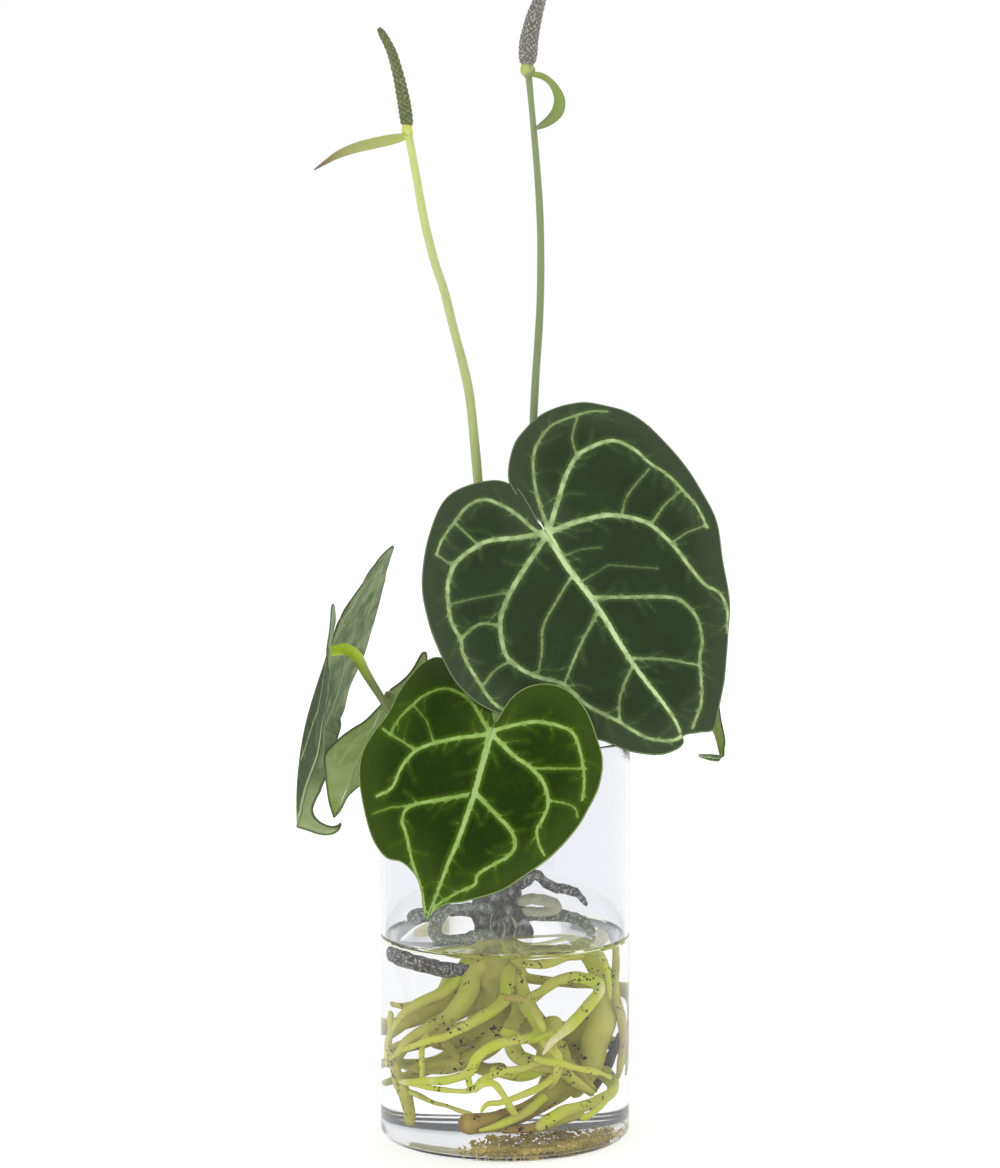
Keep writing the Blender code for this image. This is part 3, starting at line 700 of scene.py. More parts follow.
def flat_half(work, margin, length, v_low, v_high):
    # One half of a flat blade: a square mesh cut to the margin, its edge drawn onto it.
    outline = smooth_margin(margin)
    closed = np.vstack([[0.0, 0.0], outline, [0.0, length]])
    first = math.floor(closed[:, 0].min() / CELL)
    last = math.ceil(closed[:, 0].max() / CELL)
    columns = last - first
    rows = round((v_high - v_low) / CELL)
    stretch = Matrix.Diagonal((columns * CELL, rows * CELL, 1.0, 1.0))
    shift = Matrix.Translation((first * CELL, v_low, 0.0))
    centred = Matrix.Translation((0.5, 0.5, 0.0))
    grid = bmesh.ops.create_grid(work, x_segments=columns, y_segments=rows, size=0.5,
                                 matrix=shift @ stretch @ centred)
    verts = grid["verts"]
    faces = list({face for vert in verts for face in vert.link_faces})
    centres = np.array([face.calc_center_median()[:2] for face in faces])
    kept = inside(centres, closed)
    spare = [face for face, keep in zip(faces, kept) if not keep]
    bmesh.ops.delete(work, geom=spare, context="FACES")
    verts = [vert for vert in verts if vert.is_valid]
    ring = np.vstack([closed, closed[:1]])
    edge = []
    for vert in verts:
        on_midrib = abs(vert.co.x) < 1e-6 and -1e-6 < vert.co.y < length - 0.5 * CELL
        if vert.is_boundary and not on_midrib:
            edge.append(vert)
    _, drawn = nearest_on(np.array([vert.co[:2] for vert in edge]), ring)
    for vert, place in zip(edge, drawn):
        vert.co.x, vert.co.y = place
    return verts, outline


def side_twigs(veins):
    # Short fine twigs leaving both sides of every strong vein, leaning towards its end.
    twigs = []
    for side, strength, wide, narrow, points in veins:
        if strength < 0.6:
            continue
        line = smooth_line(points, 5 * (len(points) - 1) + 1)
        gaps = np.hypot(*np.diff(line, axis=0).T)
        reached = np.concatenate([[0.0], np.cumsum(gaps)])
        place = random.uniform(3.0, 7.0)
        turn = random.choice((-1, 1))
        while place < reached[-1] - 3.0:
            start = np.array([np.interp(place, reached, line[:, 0]),
                              np.interp(place, reached, line[:, 1])])
            beyond = np.array([np.interp(place + 1.0, reached, line[:, 0]),
                               np.interp(place + 1.0, reached, line[:, 1])])
            heading = math.atan2(*(beyond - start)[::-1]) + turn * random.uniform(0.6, 1.15)
            reach = random.uniform(4.0, 13.0)
            middle = start + reach * 0.5 * np.array([math.cos(heading), math.sin(heading)])
            heading += random.uniform(-0.6, 0.6)
            end = middle + reach * 0.5 * np.array([math.cos(heading), math.sin(heading)])
            half = side if side else (1 if end[0] > 0 else -1)
            twigs.append((half, random.uniform(0.12, 0.3), 0.1, 0.0,
                          [tuple(start), tuple(middle), tuple(end)]))
            place += random.uniform(4.5, 10.0)
            turn = -turn if random.random() < 0.75 else turn
    return twigs


def tip_path(length, curls):
    # How the midrib bends: places along it, its turn and its twist there, and how far
    # forward and how far up it has gone.
    spine = np.arange(0.0, length + 0.1, 0.1)
    angle = np.zeros_like(spine)
    roll = np.zeros_like(spine)
    for start, radius, turn, twist in curls:
        turn = math.radians(turn)
        done = np.clip((spine - start) / (radius * turn), 0.0, 1.0)
        angle += turn * done
        roll += math.radians(twist) * done
    return spine, angle, roll, np.cumsum(np.cos(angle)) * 0.1, -np.cumsum(np.sin(angle)) * 0.1


def vein_field(flat, half, veins):
    # For each place of one half: the distance to the nearest vein's edge, where meeting
    # veins flow together, and how strong the veins near it are.
    gaps = []
    ranks = []
    for side, strength, wide, narrow, points in veins:
        if side == -half:
            continue
        line = smooth_line(points, 5 * (len(points) - 1) + 1 if strength > 0.44 else 3)
        best = np.full(len(flat), 1e9)
        for i in range(len(line) - 1):
            step = line[i + 1] - line[i]
            share = np.clip(((flat - line[i]) @ step) / max(step @ step, 1e-9), 0.0, 1.0)
            place = line[i] + share[:, None] * step
            width = wide + (narrow - wide) * (i + share) / (len(line) - 1)
            best = np.minimum(best, np.hypot(*(flat - place).T) - width)
        gaps.append(best)
        ranks.append(strength)
    gaps = np.array(gaps)
    weight = np.exp(-np.clip(gaps, -2, 40) / VEIN_JOIN)
    field = np.clip(-VEIN_JOIN * np.log(weight.sum(axis=0) + 1e-30), -2.0, 12.0)
    wider = np.exp(-np.clip(gaps, -2, 40) / BORDER_JOIN)
    pale = (wider * np.array(ranks)[:, None]).sum(axis=0) / (wider.sum(axis=0) + 1e-30)
    return field, pale


def blade_height(u, v, half, length, bend, field, rim):
    # How far the blade stands off its flat plane: its bends, the swelling between the
    # veins, the groove along each vein and the wave of the margin.
    side = 0 if half > 0 else 1
    height = bend["fold"][side] * np.abs(u) + bend["arch"][side] * u * u
    height += bend["lobes"][side] * np.minimum(v, 0) ** 2
    height += bend["tip"] * np.maximum(v - 30, 0) ** 2
    height += bend["twist"] * v * np.maximum(u, 0)
    height += bend["close"] * np.clip(v - 50, 0, 40) * np.maximum(-u, 0)
    height += bend["bow"] * np.sin(np.pi * np.clip(v / length, 0, 1))
    height += 0.55 * (1 - np.exp(-np.clip(field, 0, 12) / 4.0))
    height -= 0.25 * np.exp(-np.clip(field + 0.6, 0, 12) / 0.5)
    height += 0.5 * np.exp(-rim / 6.0) * np.sin(0.19 * v + 0.09 * u + half)
    return np.maximum(height, -40.0)


def leaf_blade(name, node, base, along, normal, right, left, veins, bend, curls, finishes):
    # veins: (half, strength, half-width at start, half-width at end, points) in blade
    # millimetres; half is 1 right, -1 left, 0 both. bend: the fold, the arch and the
    # droop of the lobes, each (right, left); the droop of the tip; the right half's
    # twist, how the left half closes near the tip and how far the midrib bows out.
    # curls: (where along the midrib, radius, turn, twist) of each bend of the tip.
    base = np.array(base, dtype=float)
    along = np.array(along, dtype=float)
    along /= np.linalg.norm(along)
    normal = np.array(normal, dtype=float)
    normal -= normal.dot(along) * along
    normal /= np.linalg.norm(normal)
    across = np.cross(along, normal)
    if across.dot((1.0, -0.6, 0.0)) < 0:
        across = -across
    bend = {**FLAT_BLADE, **bend}
    length = right[-1][1]
    veins = veins + side_twigs(veins)
    spine, angle, roll, run, drop = tip_path(length, curls)
    v_low = math.floor(min(v for _, v in right + left) / CELL - 1) * CELL
    v_high = math.ceil(max(v for _, v in right + left) / CELL + 1) * CELL
    work = bmesh.new()
    vein_layer = work.verts.layers.float.new("vein")
    pale_layer = work.verts.layers.float.new("pale")
    rim_layer = work.verts.layers.float.new("rim")
    flat_layer = work.verts.layers.float_vector.new("flat")
    halves = []
    for half, margin in ((1, right), (-1, left)):
        halves.append((half,) + flat_half(work, margin, length, v_low, v_high))
    seam = []
    for half, verts, outline in halves:
        flat = np.array([vert.co[:2] for vert in verts])
        rim, _ = nearest_on(flat, outline)
        field, pale = vein_field(flat, half, veins)
        u = flat[:, 0]
        v = flat[:, 1]
        height = blade_height(u, v, half, length, bend, field, rim)
        turned_by = np.interp(v, spine, angle)
        rolled = np.interp(v, spine, roll)
        sideways = u * np.cos(rolled) - height * np.sin(rolled)
        height = height * np.cos(rolled) + u * np.sin(rolled)
        forward = np.where(v > 0, np.interp(v, spine, run), v) + height * np.sin(turned_by)
        forward += np.maximum(v - length, 0)
        upward = np.where(v > 0, np.interp(v, spine, drop), 0) + height * np.cos(turned_by)
        place = base + sideways[:, None] * across + forward[:, None] * along
        place += upward[:, None] * normal
        for i, vert in enumerate(verts):
            vert[vein_layer] = field[i]
            vert[pale_layer] = pale[i]
            vert[rim_layer] = min(rim[i], 30.0)
            vert[flat_layer] = (u[i], v[i], half)
            if abs(u[i]) < 1e-6 and v[i] > -1e-6:
                seam.append(vert)
            vert.co = Vector(place[i]) / 1000
    bmesh.ops.remove_doubles(work, verts=seam, dist=1e-5)
    work.normal_update()
    facing = sum((face.normal for face in work.faces), Vector())
    if facing.dot(Vector(normal)) < 0:
        bmesh.ops.reverse_faces(work, faces=work.faces)
    leaf = smooth_object(name, work)
    for finish in finishes:
        leaf.data.materials.append(finish)
    body = leaf.modifiers.new("thickness", "SOLIDIFY")
    body.thickness = LEAF_THICKNESS
    body.offset = -1.0
    body.material_offset = 1
    body.material_offset_rim = 1
    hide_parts(node)
    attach(leaf, "root")


def fade(tree, value, start, end, low=0.0, high=1.0):
    # Like spread, but easing in and out.
    return spread(tree, value, start, end, low, high, "SMOOTHSTEP")


def ragged(tree, distance, flat):
    # Makes the distance to a vein waver, so that the vein's edges are not ruled.
    shift = fade(tree, noise(tree, flat, 0.55, 3.0), 0.25, 0.75, -0.2, 0.2)
    return reckon(tree, "ADD", distance, shift)


def velvet_upper(name, dark, painted_sheen, border, vein_thin, vein_broad, margin, gloss, hem_width):
    # The upper side: dark velvet, lightened towards the margin by painted sheen, with a faint net
    # of small veins, bright borders beside the strong veins, the veins themselves and a pale hem.
    finish, tree = new_finish(name)
    flat = layer(tree, "flat", "Vector")
    vein = ragged(tree, layer(tree, "vein"), flat)
    pale = layer(tree, "pale")
    rim = layer(tree, "rim")
    cloud = noise(tree, flat, 0.05, 5.0)
    net = add_node(tree, "TexVoronoi", {"Vector": flat, "Scale": 0.17})
    net.feature = "DISTANCE_TO_EDGE"
    near = reckon(tree, "MULTIPLY", fade(tree, vein, 2.4, -0.1), pale)
    core = reckon(tree, "MULTIPLY", fade(tree, vein, 0.3, -0.3),
                  fade(tree, pale, 0.15, 0.75, 0.2, 1.0))
    vein_colour = blend(tree, fade(tree, pale, 0.55, 1.0), vein_thin, vein_broad)
    hem = fade(tree, rim, hem_width, 0.4 * hem_width, 0.0, 0.8)
    colour = blend(tree, fade(tree, cloud, 0.35, 0.7), dark, tuple(1.25 * c for c in dark))
    # Painted sheen: within 22 mm of the margin the colour turns towards a lighter one, standing in
    # for velvet sheen.
    colour = blend(tree, fade(tree, rim, 22.0, 0.0, 0.0, 0.85), colour, painted_sheen)
    colour = blend(tree, fade(tree, net.outputs["Distance"], 0.07, 0.01, 0.0, 0.07), colour, border)
    colour = blend(tree, near, colour, border)
    colour = blend(tree, core, colour, vein_colour)
    colour = blend(tree, hem, colour, margin)
    pile = noise(tree, flat, 1.6, 3.0)
    set_shader(tree, {"Base Color": colour, "Roughness": 0.55, "Specular IOR Level": gloss,
                      "Normal": relief(tree, pile, 0.25, 0.0003)})
    return finish


def pale_under(name, ground, patch, vein_colour, tip_colour, tip_from):
    # The underside: pale and clouded, with raised veins, a tip of its own colour beyond
    # tip_from millimetres along the midrib and a dark hem.
    finish, tree = new_finish(name)
    flat = layer(tree, "flat", "Vector")
    along_leaf = add_node(tree, "SeparateXYZ", {"Vector": flat}).outputs["Y"]
    ridge = reckon(tree, "MULTIPLY", fade(tree, layer(tree, "vein"), 1.1, -0.3, 0.0, 0.8),
                   fade(tree, layer(tree, "pale"), 0.2, 0.8, 0.15, 1.0))
    hem = fade(tree, layer(tree, "rim"), 1.3, 0.5, 0.0, 0.75)
    colour = blend(tree, fade(tree, noise(tree, flat, 0.09, 5.0), 0.38, 0.62), patch, ground)
    colour = blend(tree, ridge, colour, vein_colour)
    colour = blend(tree, fade(tree, along_leaf, tip_from, tip_from + 25.0), colour, tip_colour)
    colour = blend(tree, hem, colour, (0.05, 0.07, 0.03))
    set_shader(tree, {"Base Color": colour, "Roughness": 0.55, "Specular IOR Level": 0.12,
                      "Normal": relief(tree, ridge, 0.8, 0.0006)})
    return finish


upper_dark = velvet_upper(
    "velvet_upper_dark", dark=(0.018, 0.034, 0.009), painted_sheen=(0.050, 0.070, 0.036),
    border=(0.070, 0.118, 0.026), vein_thin=(0.27, 0.37, 0.15), vein_broad=(0.60, 0.76, 0.38),
    margin=(0.20, 0.27, 0.12), gloss=0.18, hem_width=0.75)
upper_green = velvet_upper(
    "velvet_upper_green", dark=(0.014, 0.032, 0.001), painted_sheen=(0.046, 0.078, 0.010),
    border=(0.075, 0.140, 0.006), vein_thin=(0.27, 0.42, 0.09), vein_broad=(0.38, 0.54, 0.19),
    margin=(0.28, 0.40, 0.14), gloss=0.06, hem_width=0.75)
upper_left = velvet_upper(
    "velvet_upper_left", dark=(0.038, 0.056, 0.022), painted_sheen=(0.062, 0.088, 0.036),
    border=(0.08, 0.12, 0.04), vein_thin=(0.30, 0.40, 0.17), vein_broad=(0.36, 0.46, 0.20),
    margin=(0.38, 0.48, 0.25), gloss=0.04, hem_width=2.4)
under_grey = pale_under(
    "matt_under_grey", ground=(0.15, 0.19, 0.10), patch=(0.12, 0.16, 0.08),
    vein_colour=(0.26, 0.33, 0.17), tip_colour=(0.15, 0.19, 0.10), tip_from=60.0)
under_light = pale_under(
    "matt_under_light", ground=(0.34, 0.43, 0.18), patch=(0.28, 0.37, 0.13),
    vein_colour=(0.38, 0.48, 0.20), tip_colour=(0.22, 0.30, 0.06), tip_from=45.0)
under_left = pale_under(
    "matt_under_left", ground=(0.30, 0.39, 0.18), patch=(0.15, 0.20, 0.08),
    vein_colour=(0.37, 0.46, 0.26), tip_colour=(0.42, 0.51, 0.25), tip_from=60.0)

# The large front leaf.
random.seed(9)
leaf_blade(
    "large_leaf", "leaf_1_large", (19.5, -30, 291.3), (0.531, -0.376, -0.76),
    (0.05, -0.88, 0.47),
    [(0.5, -6), (-1, -16), (-1, -32), (10, -46), (21, -52), (34, -55), (50, -52), (60, -46),
     (69, -36), (75, -20), (77, -1), (77, 14), (74, 33), (65, 52), (56, 71), (45, 86),
     (33, 101.5), (28, 107), (21, 114), (14, 120.5), (8, 118.5), (3, 116.5), (0, 116)],
    [(-0.5, -6), (0.5, -17), (0, -28), (-8, -37), (-29, -40), (-47, -28), (-63, -9), (-71, 9),
     (-75, 27), (-76, 45), (-70, 61), (-51, 83), (-33, 100), (-25, 110), (-14, 118.3), (-5.5, 120),
     (-1.5, 119), (0, 116)],
    [(0, 1.0, 1.7, 0.55, [(0, -1), (-1, 21), (0, 41), (-1, 74), (1, 104), (0, 114)]),
     (-1, 0.8, 1.0, 0.55, [(0, 0), (-4, -4), (-7, -15), (-11, -24), (-16, -30), (-24, -31),
                           (-34, -27), (-44, -22), (-50, -17)]),
     (-1, 0.9, 1.2, 0.6, [(0, 0), (-13, -5), (-24, -10), (-31, -11), (-44, -9), (-52, -3), (-57, 4),
                          (-62, 15), (-63, 25), (-66, 32), (-67, 44), (-66, 61), (-55, 77)]),
     (-1, 0.85, 1.2, 0.7, [(0, 0), (-5, 3), (-17, 9), (-28, 15), (-38, 22), (-44, 29), (-49, 41),
                           (-48, 49), (-43, 58), (-34, 68), (-30, 82), (-22, 95), (-15, 108),
                           (-6, 115), (1, 116)]),
     (1, 0.75, 0.9, 0.5, [(0, 0), (2, -4), (5, -14), (9, -25), (16, -37), (23, -43), (32, -47),
                          (40, -47), (53, -45), (61, -41)]),
     (1, 0.9, 1.2, 0.6, [(0, 0), (4, -3), (14, -12), (23, -20), (34, -27), (44, -28), (54, -26),
                         (60, -18), (63, -7), (67, 2), (69, 14), (70, 22), (68, 34)]),
     (1, 0.95, 1.3, 0.6, [(0, 0), (14, 2), (26, 5), (34, 9), (44, 19), (48, 33), (49, 48), (50, 58),
                          (54, 66), (52, 75), (46, 84)]),
     (1, 0.8, 0.9, 0.6, [(0, 38), (14, 46), (33, 57), (37, 65), (37, 73), (33, 82), (27, 89),
                         (22, 98), (16, 107), (6, 115)]),
     (1, 0.7, 0.7, 0.5, [(0, 73), (13, 81), (25, 91)]),
     (-1, 0.55, 0.6, 0.45, [(0, 24), (-5, 26), (-16, 32), (-27, 39), (-34, 49), (-41, 57)]),
     (-1, 0.75, 0.7, 0.5, [(0, 46), (-3, 47), (-18, 56), (-34, 68)]),
     (-1, 0.65, 0.6, 0.5, [(0, 75), (-14, 85), (-21, 95)]),
     (-1, 0.6, 0.6, 0.5, [(-34, -26), (-31, -12)]),
     (-1, 0.5, 0.5, 0.5, [(-50, -17), (-47, -9)]),
     (-1, 0.65, 0.7, 0.6, [(-63, 25), (-52, 23), (-44, 28)]),
     (-1, 0.35, 0.5, 0.4, [(-57, 8), (-50, 12), (-43, 10), (-33, 16)]),
     (-1, 0.45, 0.6, 0.5, [(-67, 50), (-57, 46), (-48, 46)]),
     (1, 0.5, 0.6, 0.5, [(46, -45), (38, -37), (34, -27)]),
     (1, 0.45, 0.5, 0.5, [(36, 9), (44, 2), (61, -5)]),
     (1, 0.55, 0.6, 0.5, [(46, 20), (56, 15), (67, 12)]),
     (1, 0.5, 0.5, 0.5, [(49, 33), (58, 32), (68, 33)]),
     (1, 0.3, 0.45, 0.4, [(0, 29), (10, 28), (22, 30), (35, 41)]),
     (1, 0.3, 0.45, 0.4, [(2, 14), (9, 15), (18, 19)])],
    bend={"arch": (-0.0012, 0.0002), "lobes": (-0.0008, -0.0008), "tip": -0.0006}, curls=[],
    finishes=(upper_dark, under_grey))

# The medium leaf, hanging low in front of the vase.
leaf_blade(
    "medium_leaf", "leaf_2_medium", (-6.5, -78, 203.5), (-0.325, -0.284, -0.902),
    (-0.244, -0.896, 0.37),
    [(0.5, -6), (3, -18), (9, -26), (18, -30), (28, -29), (39, -22), (48, -11), (53, -3), (55.5, 8),
     (54.5, 18), (51.3, 32), (45, 46), (34, 61), (26.5, 68.5), (14, 76.4), (7, 79.5), (3.3, 82.5),
     (1, 86), (0, 90)],
    [(-0.5, -6), (-4, -11), (-13, -18), (-29, -27), (-43, -32), (-48, -28), (-50, -17), (-51, -7),
     (-52, 4), (-56, 14), (-58, 24), (-56, 33), (-51, 43), (-44, 54), (-36, 63), (-28, 68),
     (-20, 68), (-12, 72), (-7, 78), (-4, 84), (0, 90)],
    [(0, 1.0, 1.5, 0.6, [(0, -1), (1, 15), (2, 29), (2, 50), (1, 63), (0, 88)]),
     (-1, 0.7, 0.9, 0.5, [(0, 0), (-4, -3), (-15, -12), (-24, -15), (-31, -15), (-38, -9),
                          (-42, -2), (-45.4, 4), (-47.4, 12.5)]),
     (-1, 0.9, 1.0, 0.6, [(0, 0), (-4, 2), (-18, 8), (-31, 16), (-36, 26), (-37, 36), (-43, 42)]),
     (-1, 0.85, 0.9, 0.5, [(1, 29), (-11, 35), (-25, 42), (-27, 49), (-22, 56), (-15, 67),
                           (-7, 77), (-2, 86)]),
     (1, 0.88, 1.0, 0.5, [(0, 0), (2, -2), (10, -7), (19, -11), (30, -12), (37, -10), (43, -2),
                         (48, 8), (50, 17)]),
     (1, 0.93, 1.0, 0.5, [(0, 0), (4, 2), (14, 7), (23, 10), (31, 15), (36, 23), (36, 30),
                          (35, 36), (38, 42), (42, 46)]),
     (1, 0.83, 0.9, 0.5, [(2, 28), (15, 35), (24, 40), (28, 46), (26, 52),
                          (22, 56), (16, 63), (16, 68), (10, 73), (2, 82), (1, 88)]),
     (1, 0.5, 0.6, 0.5, [(24, 10), (34, 7), (47, 3)]),
     (1, 0.5, 0.5, 0.5, [(36, 22), (42, 21), (48, 21.5), (50.5, 25)]),
     (-1, 0.6, 0.6, 0.45, [(-33.4, 16.6), (-40.5, 14.3), (-47.4, 12.6), (-52, 11)]),
     (-1, 0.4, 0.4, 0.3, [(-41, -3), (-34, 0), (-30, 5), (-25, 11)]),
     (-1, 0.4, 0.5, 0.45, [(-25, 42), (-34, 45), (-42, 50)])],
    bend={"arch": (-0.0012, -0.0020), "lobes": (-0.004, -0.02), "tip": -0.0006}, curls=[],
    finishes=(upper_green, under_light))

# The left leaf, seen almost on edge, its halves folded back from the midrib.
leaf_blade(
    "left_leaf", "leaf_3_left", (-84, -14, 234), (-0.215, 0.28, -0.935), (-0.97, 0.0, 0.22),
    [(0.5, -5), (6, -18), (14, -28), (22, -33), (29, -32), (35, -22), (39, -12), (42, -3),
     (42.5, 6), (40, 15), (35, 27), (30, 37), (26, 45), (20, 56), (11, 71), (4, 84), (0, 93)],
    [(-0.5, -5), (-7, -22), (-15, -40), (-25, -50), (-35, -42), (-44, -28), (-48, -15), (-52, 3),
     (-52.3, 13), (-50, 23), (-47.5, 35), (-45, 46), (-39, 51.5), (-30, 56), (-20, 64),
     (-13.5, 70), (-10, 75), (-7.3, 81), (-6, 85), (-6.4, 89), (-8.5, 91.8),
     (-11, 93.2), (-12.9, 92.4), (-14, 90.6), (-13.2, 94.4), (-11.4, 97.2), (-9, 97.8),
     (-6.4, 97), (-3.4, 95), (-1.2, 93.6), (0, 93)],
    [(0, 1.0, 1.2, 0.4, [(0, -1), (0, 30), (0, 60), (0, 91)]),
     (1, 0.85, 0.5, 0.4, [(2, -2), (8, 4), (14, 12), (17, 21), (13, 31), (9, 42), (3, 56)]),
     (-1, 0.7, 0.5, 0.3, [(0, 84), (-3, 91), (-7, 94.5), (-12, 95)]),
     (1, 0.8, 0.9, 0.5, [(0, 0), (6, -8), (16, -15), (26, -14), (33, -4), (36, 12)]),
     (1, 0.5, 0.3, 0.2, [(17, 21), (22, 30), (24, 38)]),
     (-1, 0.8, 0.9, 0.5, [(0, 0), (-8, -14), (-18, -30), (-28, -36), (-36, -26), (-38, -8)]),
     (-1, 0.85, 0.9, 0.5, [(0, 0), (-10, 2), (-22, 8), (-29, 20), (-29, 36), (-22, 50),
                           (-12, 64)]),
     (-1, 0.7, 0.8, 0.5, [(0, 26), (-10, 34), (-18, 44)])],
    bend={"fold": (-0.13, -0.35), "lobes": (0, -0.004), "tip": -0.0008, "twist": -0.0055,
          "close": -0.03, "bow": 3.4}, curls=[], finishes=(upper_left, under_left))

# The leaf hidden behind the large one.
leaf_blade(
    "back_leaf", "leaf_4_back", (72, 50, 302), (0.283, -0.064, -0.957), (0.9, 0.38, 0.25),
    [(0.5, -5), (6, -22), (20, -36), (37, -29), (46, -8), (44, 20), (34, 50), (18, 80), (11, 106),
     (9, 118), (6.5, 124), (1.4, 130), (2, 138), (0, 148)],
    [(-0.5, -5), (-6, -22), (-20, -36), (-37, -29), (-46, -8), (-44, 20), (-34, 50), (-18, 78),
     (-10, 100), (-4, 118), (-2, 124), (-1.4, 130), (-2, 138), (0, 148)],
    [(0, 1.0, 1.4, 0.3, [(0, -1), (0, 30), (0, 70), (0, 147)]),
     (1, 0.8, 0.9, 0.5, [(0, 0), (10, -16), (22, -28), (33, -22), (38, -4)]),
     (1, 0.85, 1.0, 0.5, [(0, 0), (14, 4), (30, 14), (35, 30), (30, 48)]),
     (1, 0.8, 0.9, 0.5, [(0, 30), (14, 42), (24, 56), (20, 70), (8, 90)]),
     (-1, 0.8, 0.9, 0.5, [(0, 0), (-10, -16), (-22, -28), (-33, -22), (-38, -4)]),
     (-1, 0.85, 1.0, 0.5, [(0, 0), (-14, 4), (-30, 14), (-35, 30), (-30, 48)]),
     (-1, 0.8, 0.9, 0.5, [(0, 30), (-14, 42), (-24, 56), (-20, 70), (-8, 90)])],
    bend={"arch": (-0.002, -0.002), "lobes": (-0.001, -0.001), "tip": -0.0002},
    curls=[(130, 2.5, 112, -50)], finishes=(upper_dark, under_light))

# The low left leaf, which shows its pale underside.
leaf_blade(
    "low_left_leaf", "leaf_5_low_left", (-56, -8, 213), (-0.395, -0.12, -0.91),
    (-0.38, 0.9, 0.2),
    [(0.5, -3), (5, -9), (8, -16), (10, -25), (14, -24), (20, -8), (20, 8), (17, 22), (14, 32),
     (11, 39), (6, 46), (2.4, 52), (1.8, 59), (0, 64)],
    [(-0.5, -3), (-0.7, 3), (-2.3, 9), (-4.6, 15), (-9, 21.5), (-13, 28), (-16.3, 36),
     (-15.6, 40), (-12.7, 45), (-9.2, 51), (-4.7, 58.4), (0, 64)],
    [(0, 1.0, 0.9, 0.4, [(0, -1), (0, 20), (0, 59)]),
     (-1, 0.7, 0.6, 0.4, [(0, 4), (-8, 14), (-14, 24), (-12, 36)]),
     (-1, 0.7, 0.6, 0.4, [(0, 18), (-6, 26), (-8, 38)]),
     (1, 0.7, 0.6, 0.4, [(0, 0), (8, -8), (13, -14)])],
    bend={"fold": (0.35, 0.2)}, curls=[], finishes=(upper_green, under_light))


# Leaf stalks: smooth round green stalks. They spring from the top of the rootstock, lean
# out through the vase's mouth and bend to meet the back of each blade.
def stalk_finish(name, steps):
    # steps: (share of the stalk's points, colour), from the foot up; the two ends come
    # first. Fine darker streaks and grooves run up the stalk.
    finish, tree = new_finish(name)
    upright = add_node(tree, "Mapping", {"Vector": object_place(tree),
                                         "Scale": (1.0, 1.0, 0.12)}).outputs["Vector"]
    streak = noise(tree, upright, 900.0, 3.0)
    colour = blend(tree, fade(tree, streak, 0.45, 0.75, 0.0, 0.6),
                   colour_steps(tree, layer(tree, "along"), steps), (0.72, 0.76, 0.62),
                   "MULTIPLY")
    set_shader(tree, {"Base Color": colour, "Roughness": 0.38,
                      "Normal": relief(tree, streak, 0.3, 0.0003)})
    return finish


leaf_stalk = stalk_finish("leaf_stalk_green", [
    (0.0, (0.12, 0.15, 0.04)), (1.0, (0.20, 0.26, 0.08)), (0.72, (0.19, 0.23, 0.08))])
lime_stalk = stalk_finish("leaf_stalk_lime", [
    (0.0, (0.12, 0.15, 0.04)), (1.0, (0.64, 0.84, 0.06)), (0.62, (0.19, 0.23, 0.08)),
    (0.74, (0.56, 0.74, 0.05))])

LEAF_STALKS = {
    "petiole_1": [(5, -8, 124, 3.2), (6, -8, 150, 2.4), (8, -2, 200, 2.3), (14, 2, 250, 2.2),
                  (17, -8, 277, 2.2), (18.9, -20, 286, 2.5), (19.45, -29.0, 290.8, 2.4)],
    "petiole_2": [(-3, -9, 124, 3.0), (-3, -11, 150, 2.3), (-3.5, -24, 180, 2.2),
                  (-4, -42, 197.5, 2.1), (-4, -56, 201.5, 2.1), (-4.2, -68, 200, 2.3),
                  (-6.2, -77.2, 203.1, 2.2)],
    "petiole_3": [(-10, -3, 124, 3.0), (-10.4, -3.2, 131, 2.4), (-15, -6, 150, 2.1),
                  (-28, -16, 178, 1.9), (-42, -27, 192, 1.8), (-48.3, -31, 200, 1.7),
                  (-53.8, -33, 208, 1.7), (-59, -32, 216, 1.8), (-65.2, -27, 225.3, 2.2),
                  (-69.5, -20, 232, 2.6), (-74.6, -16, 235.3, 2.7), (-78.5, -14.5, 235, 2.6),
                  (-82.4, -14, 234.2, 2.4)],
    "petiole_4": [(4, 9, 124, 3.0), (8, 14, 170, 2.3), (22, 22, 215, 2.2), (42, 38, 264, 2.1),
                  (61, 46, 296, 2.3), (71.1, 49.6, 301.7, 2.2)],
    "petiole_5": [(-9, 4, 124, 2.8), (-14, 3, 150, 2.1), (-30, 0, 182, 2.0), (-44, -7, 203, 2.0),
                  (-51, -16, 211.5, 2.1), (-55.6, -9, 212.9, 2.0)],
}
for stalk_name, stalk_points in LEAF_STALKS.items():
    stalk = grown_body(stalk_name + "_stalk", [(0.0, 1.0, stalk_points)], step=1.4, sides=7,
                       lumps=0.08, lump_size=9.0)
    stalk.data.materials.append(lime_stalk if stalk_name == "petiole_3" else leaf_stalk)
    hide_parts(stalk_name)
    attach(stalk, "root")


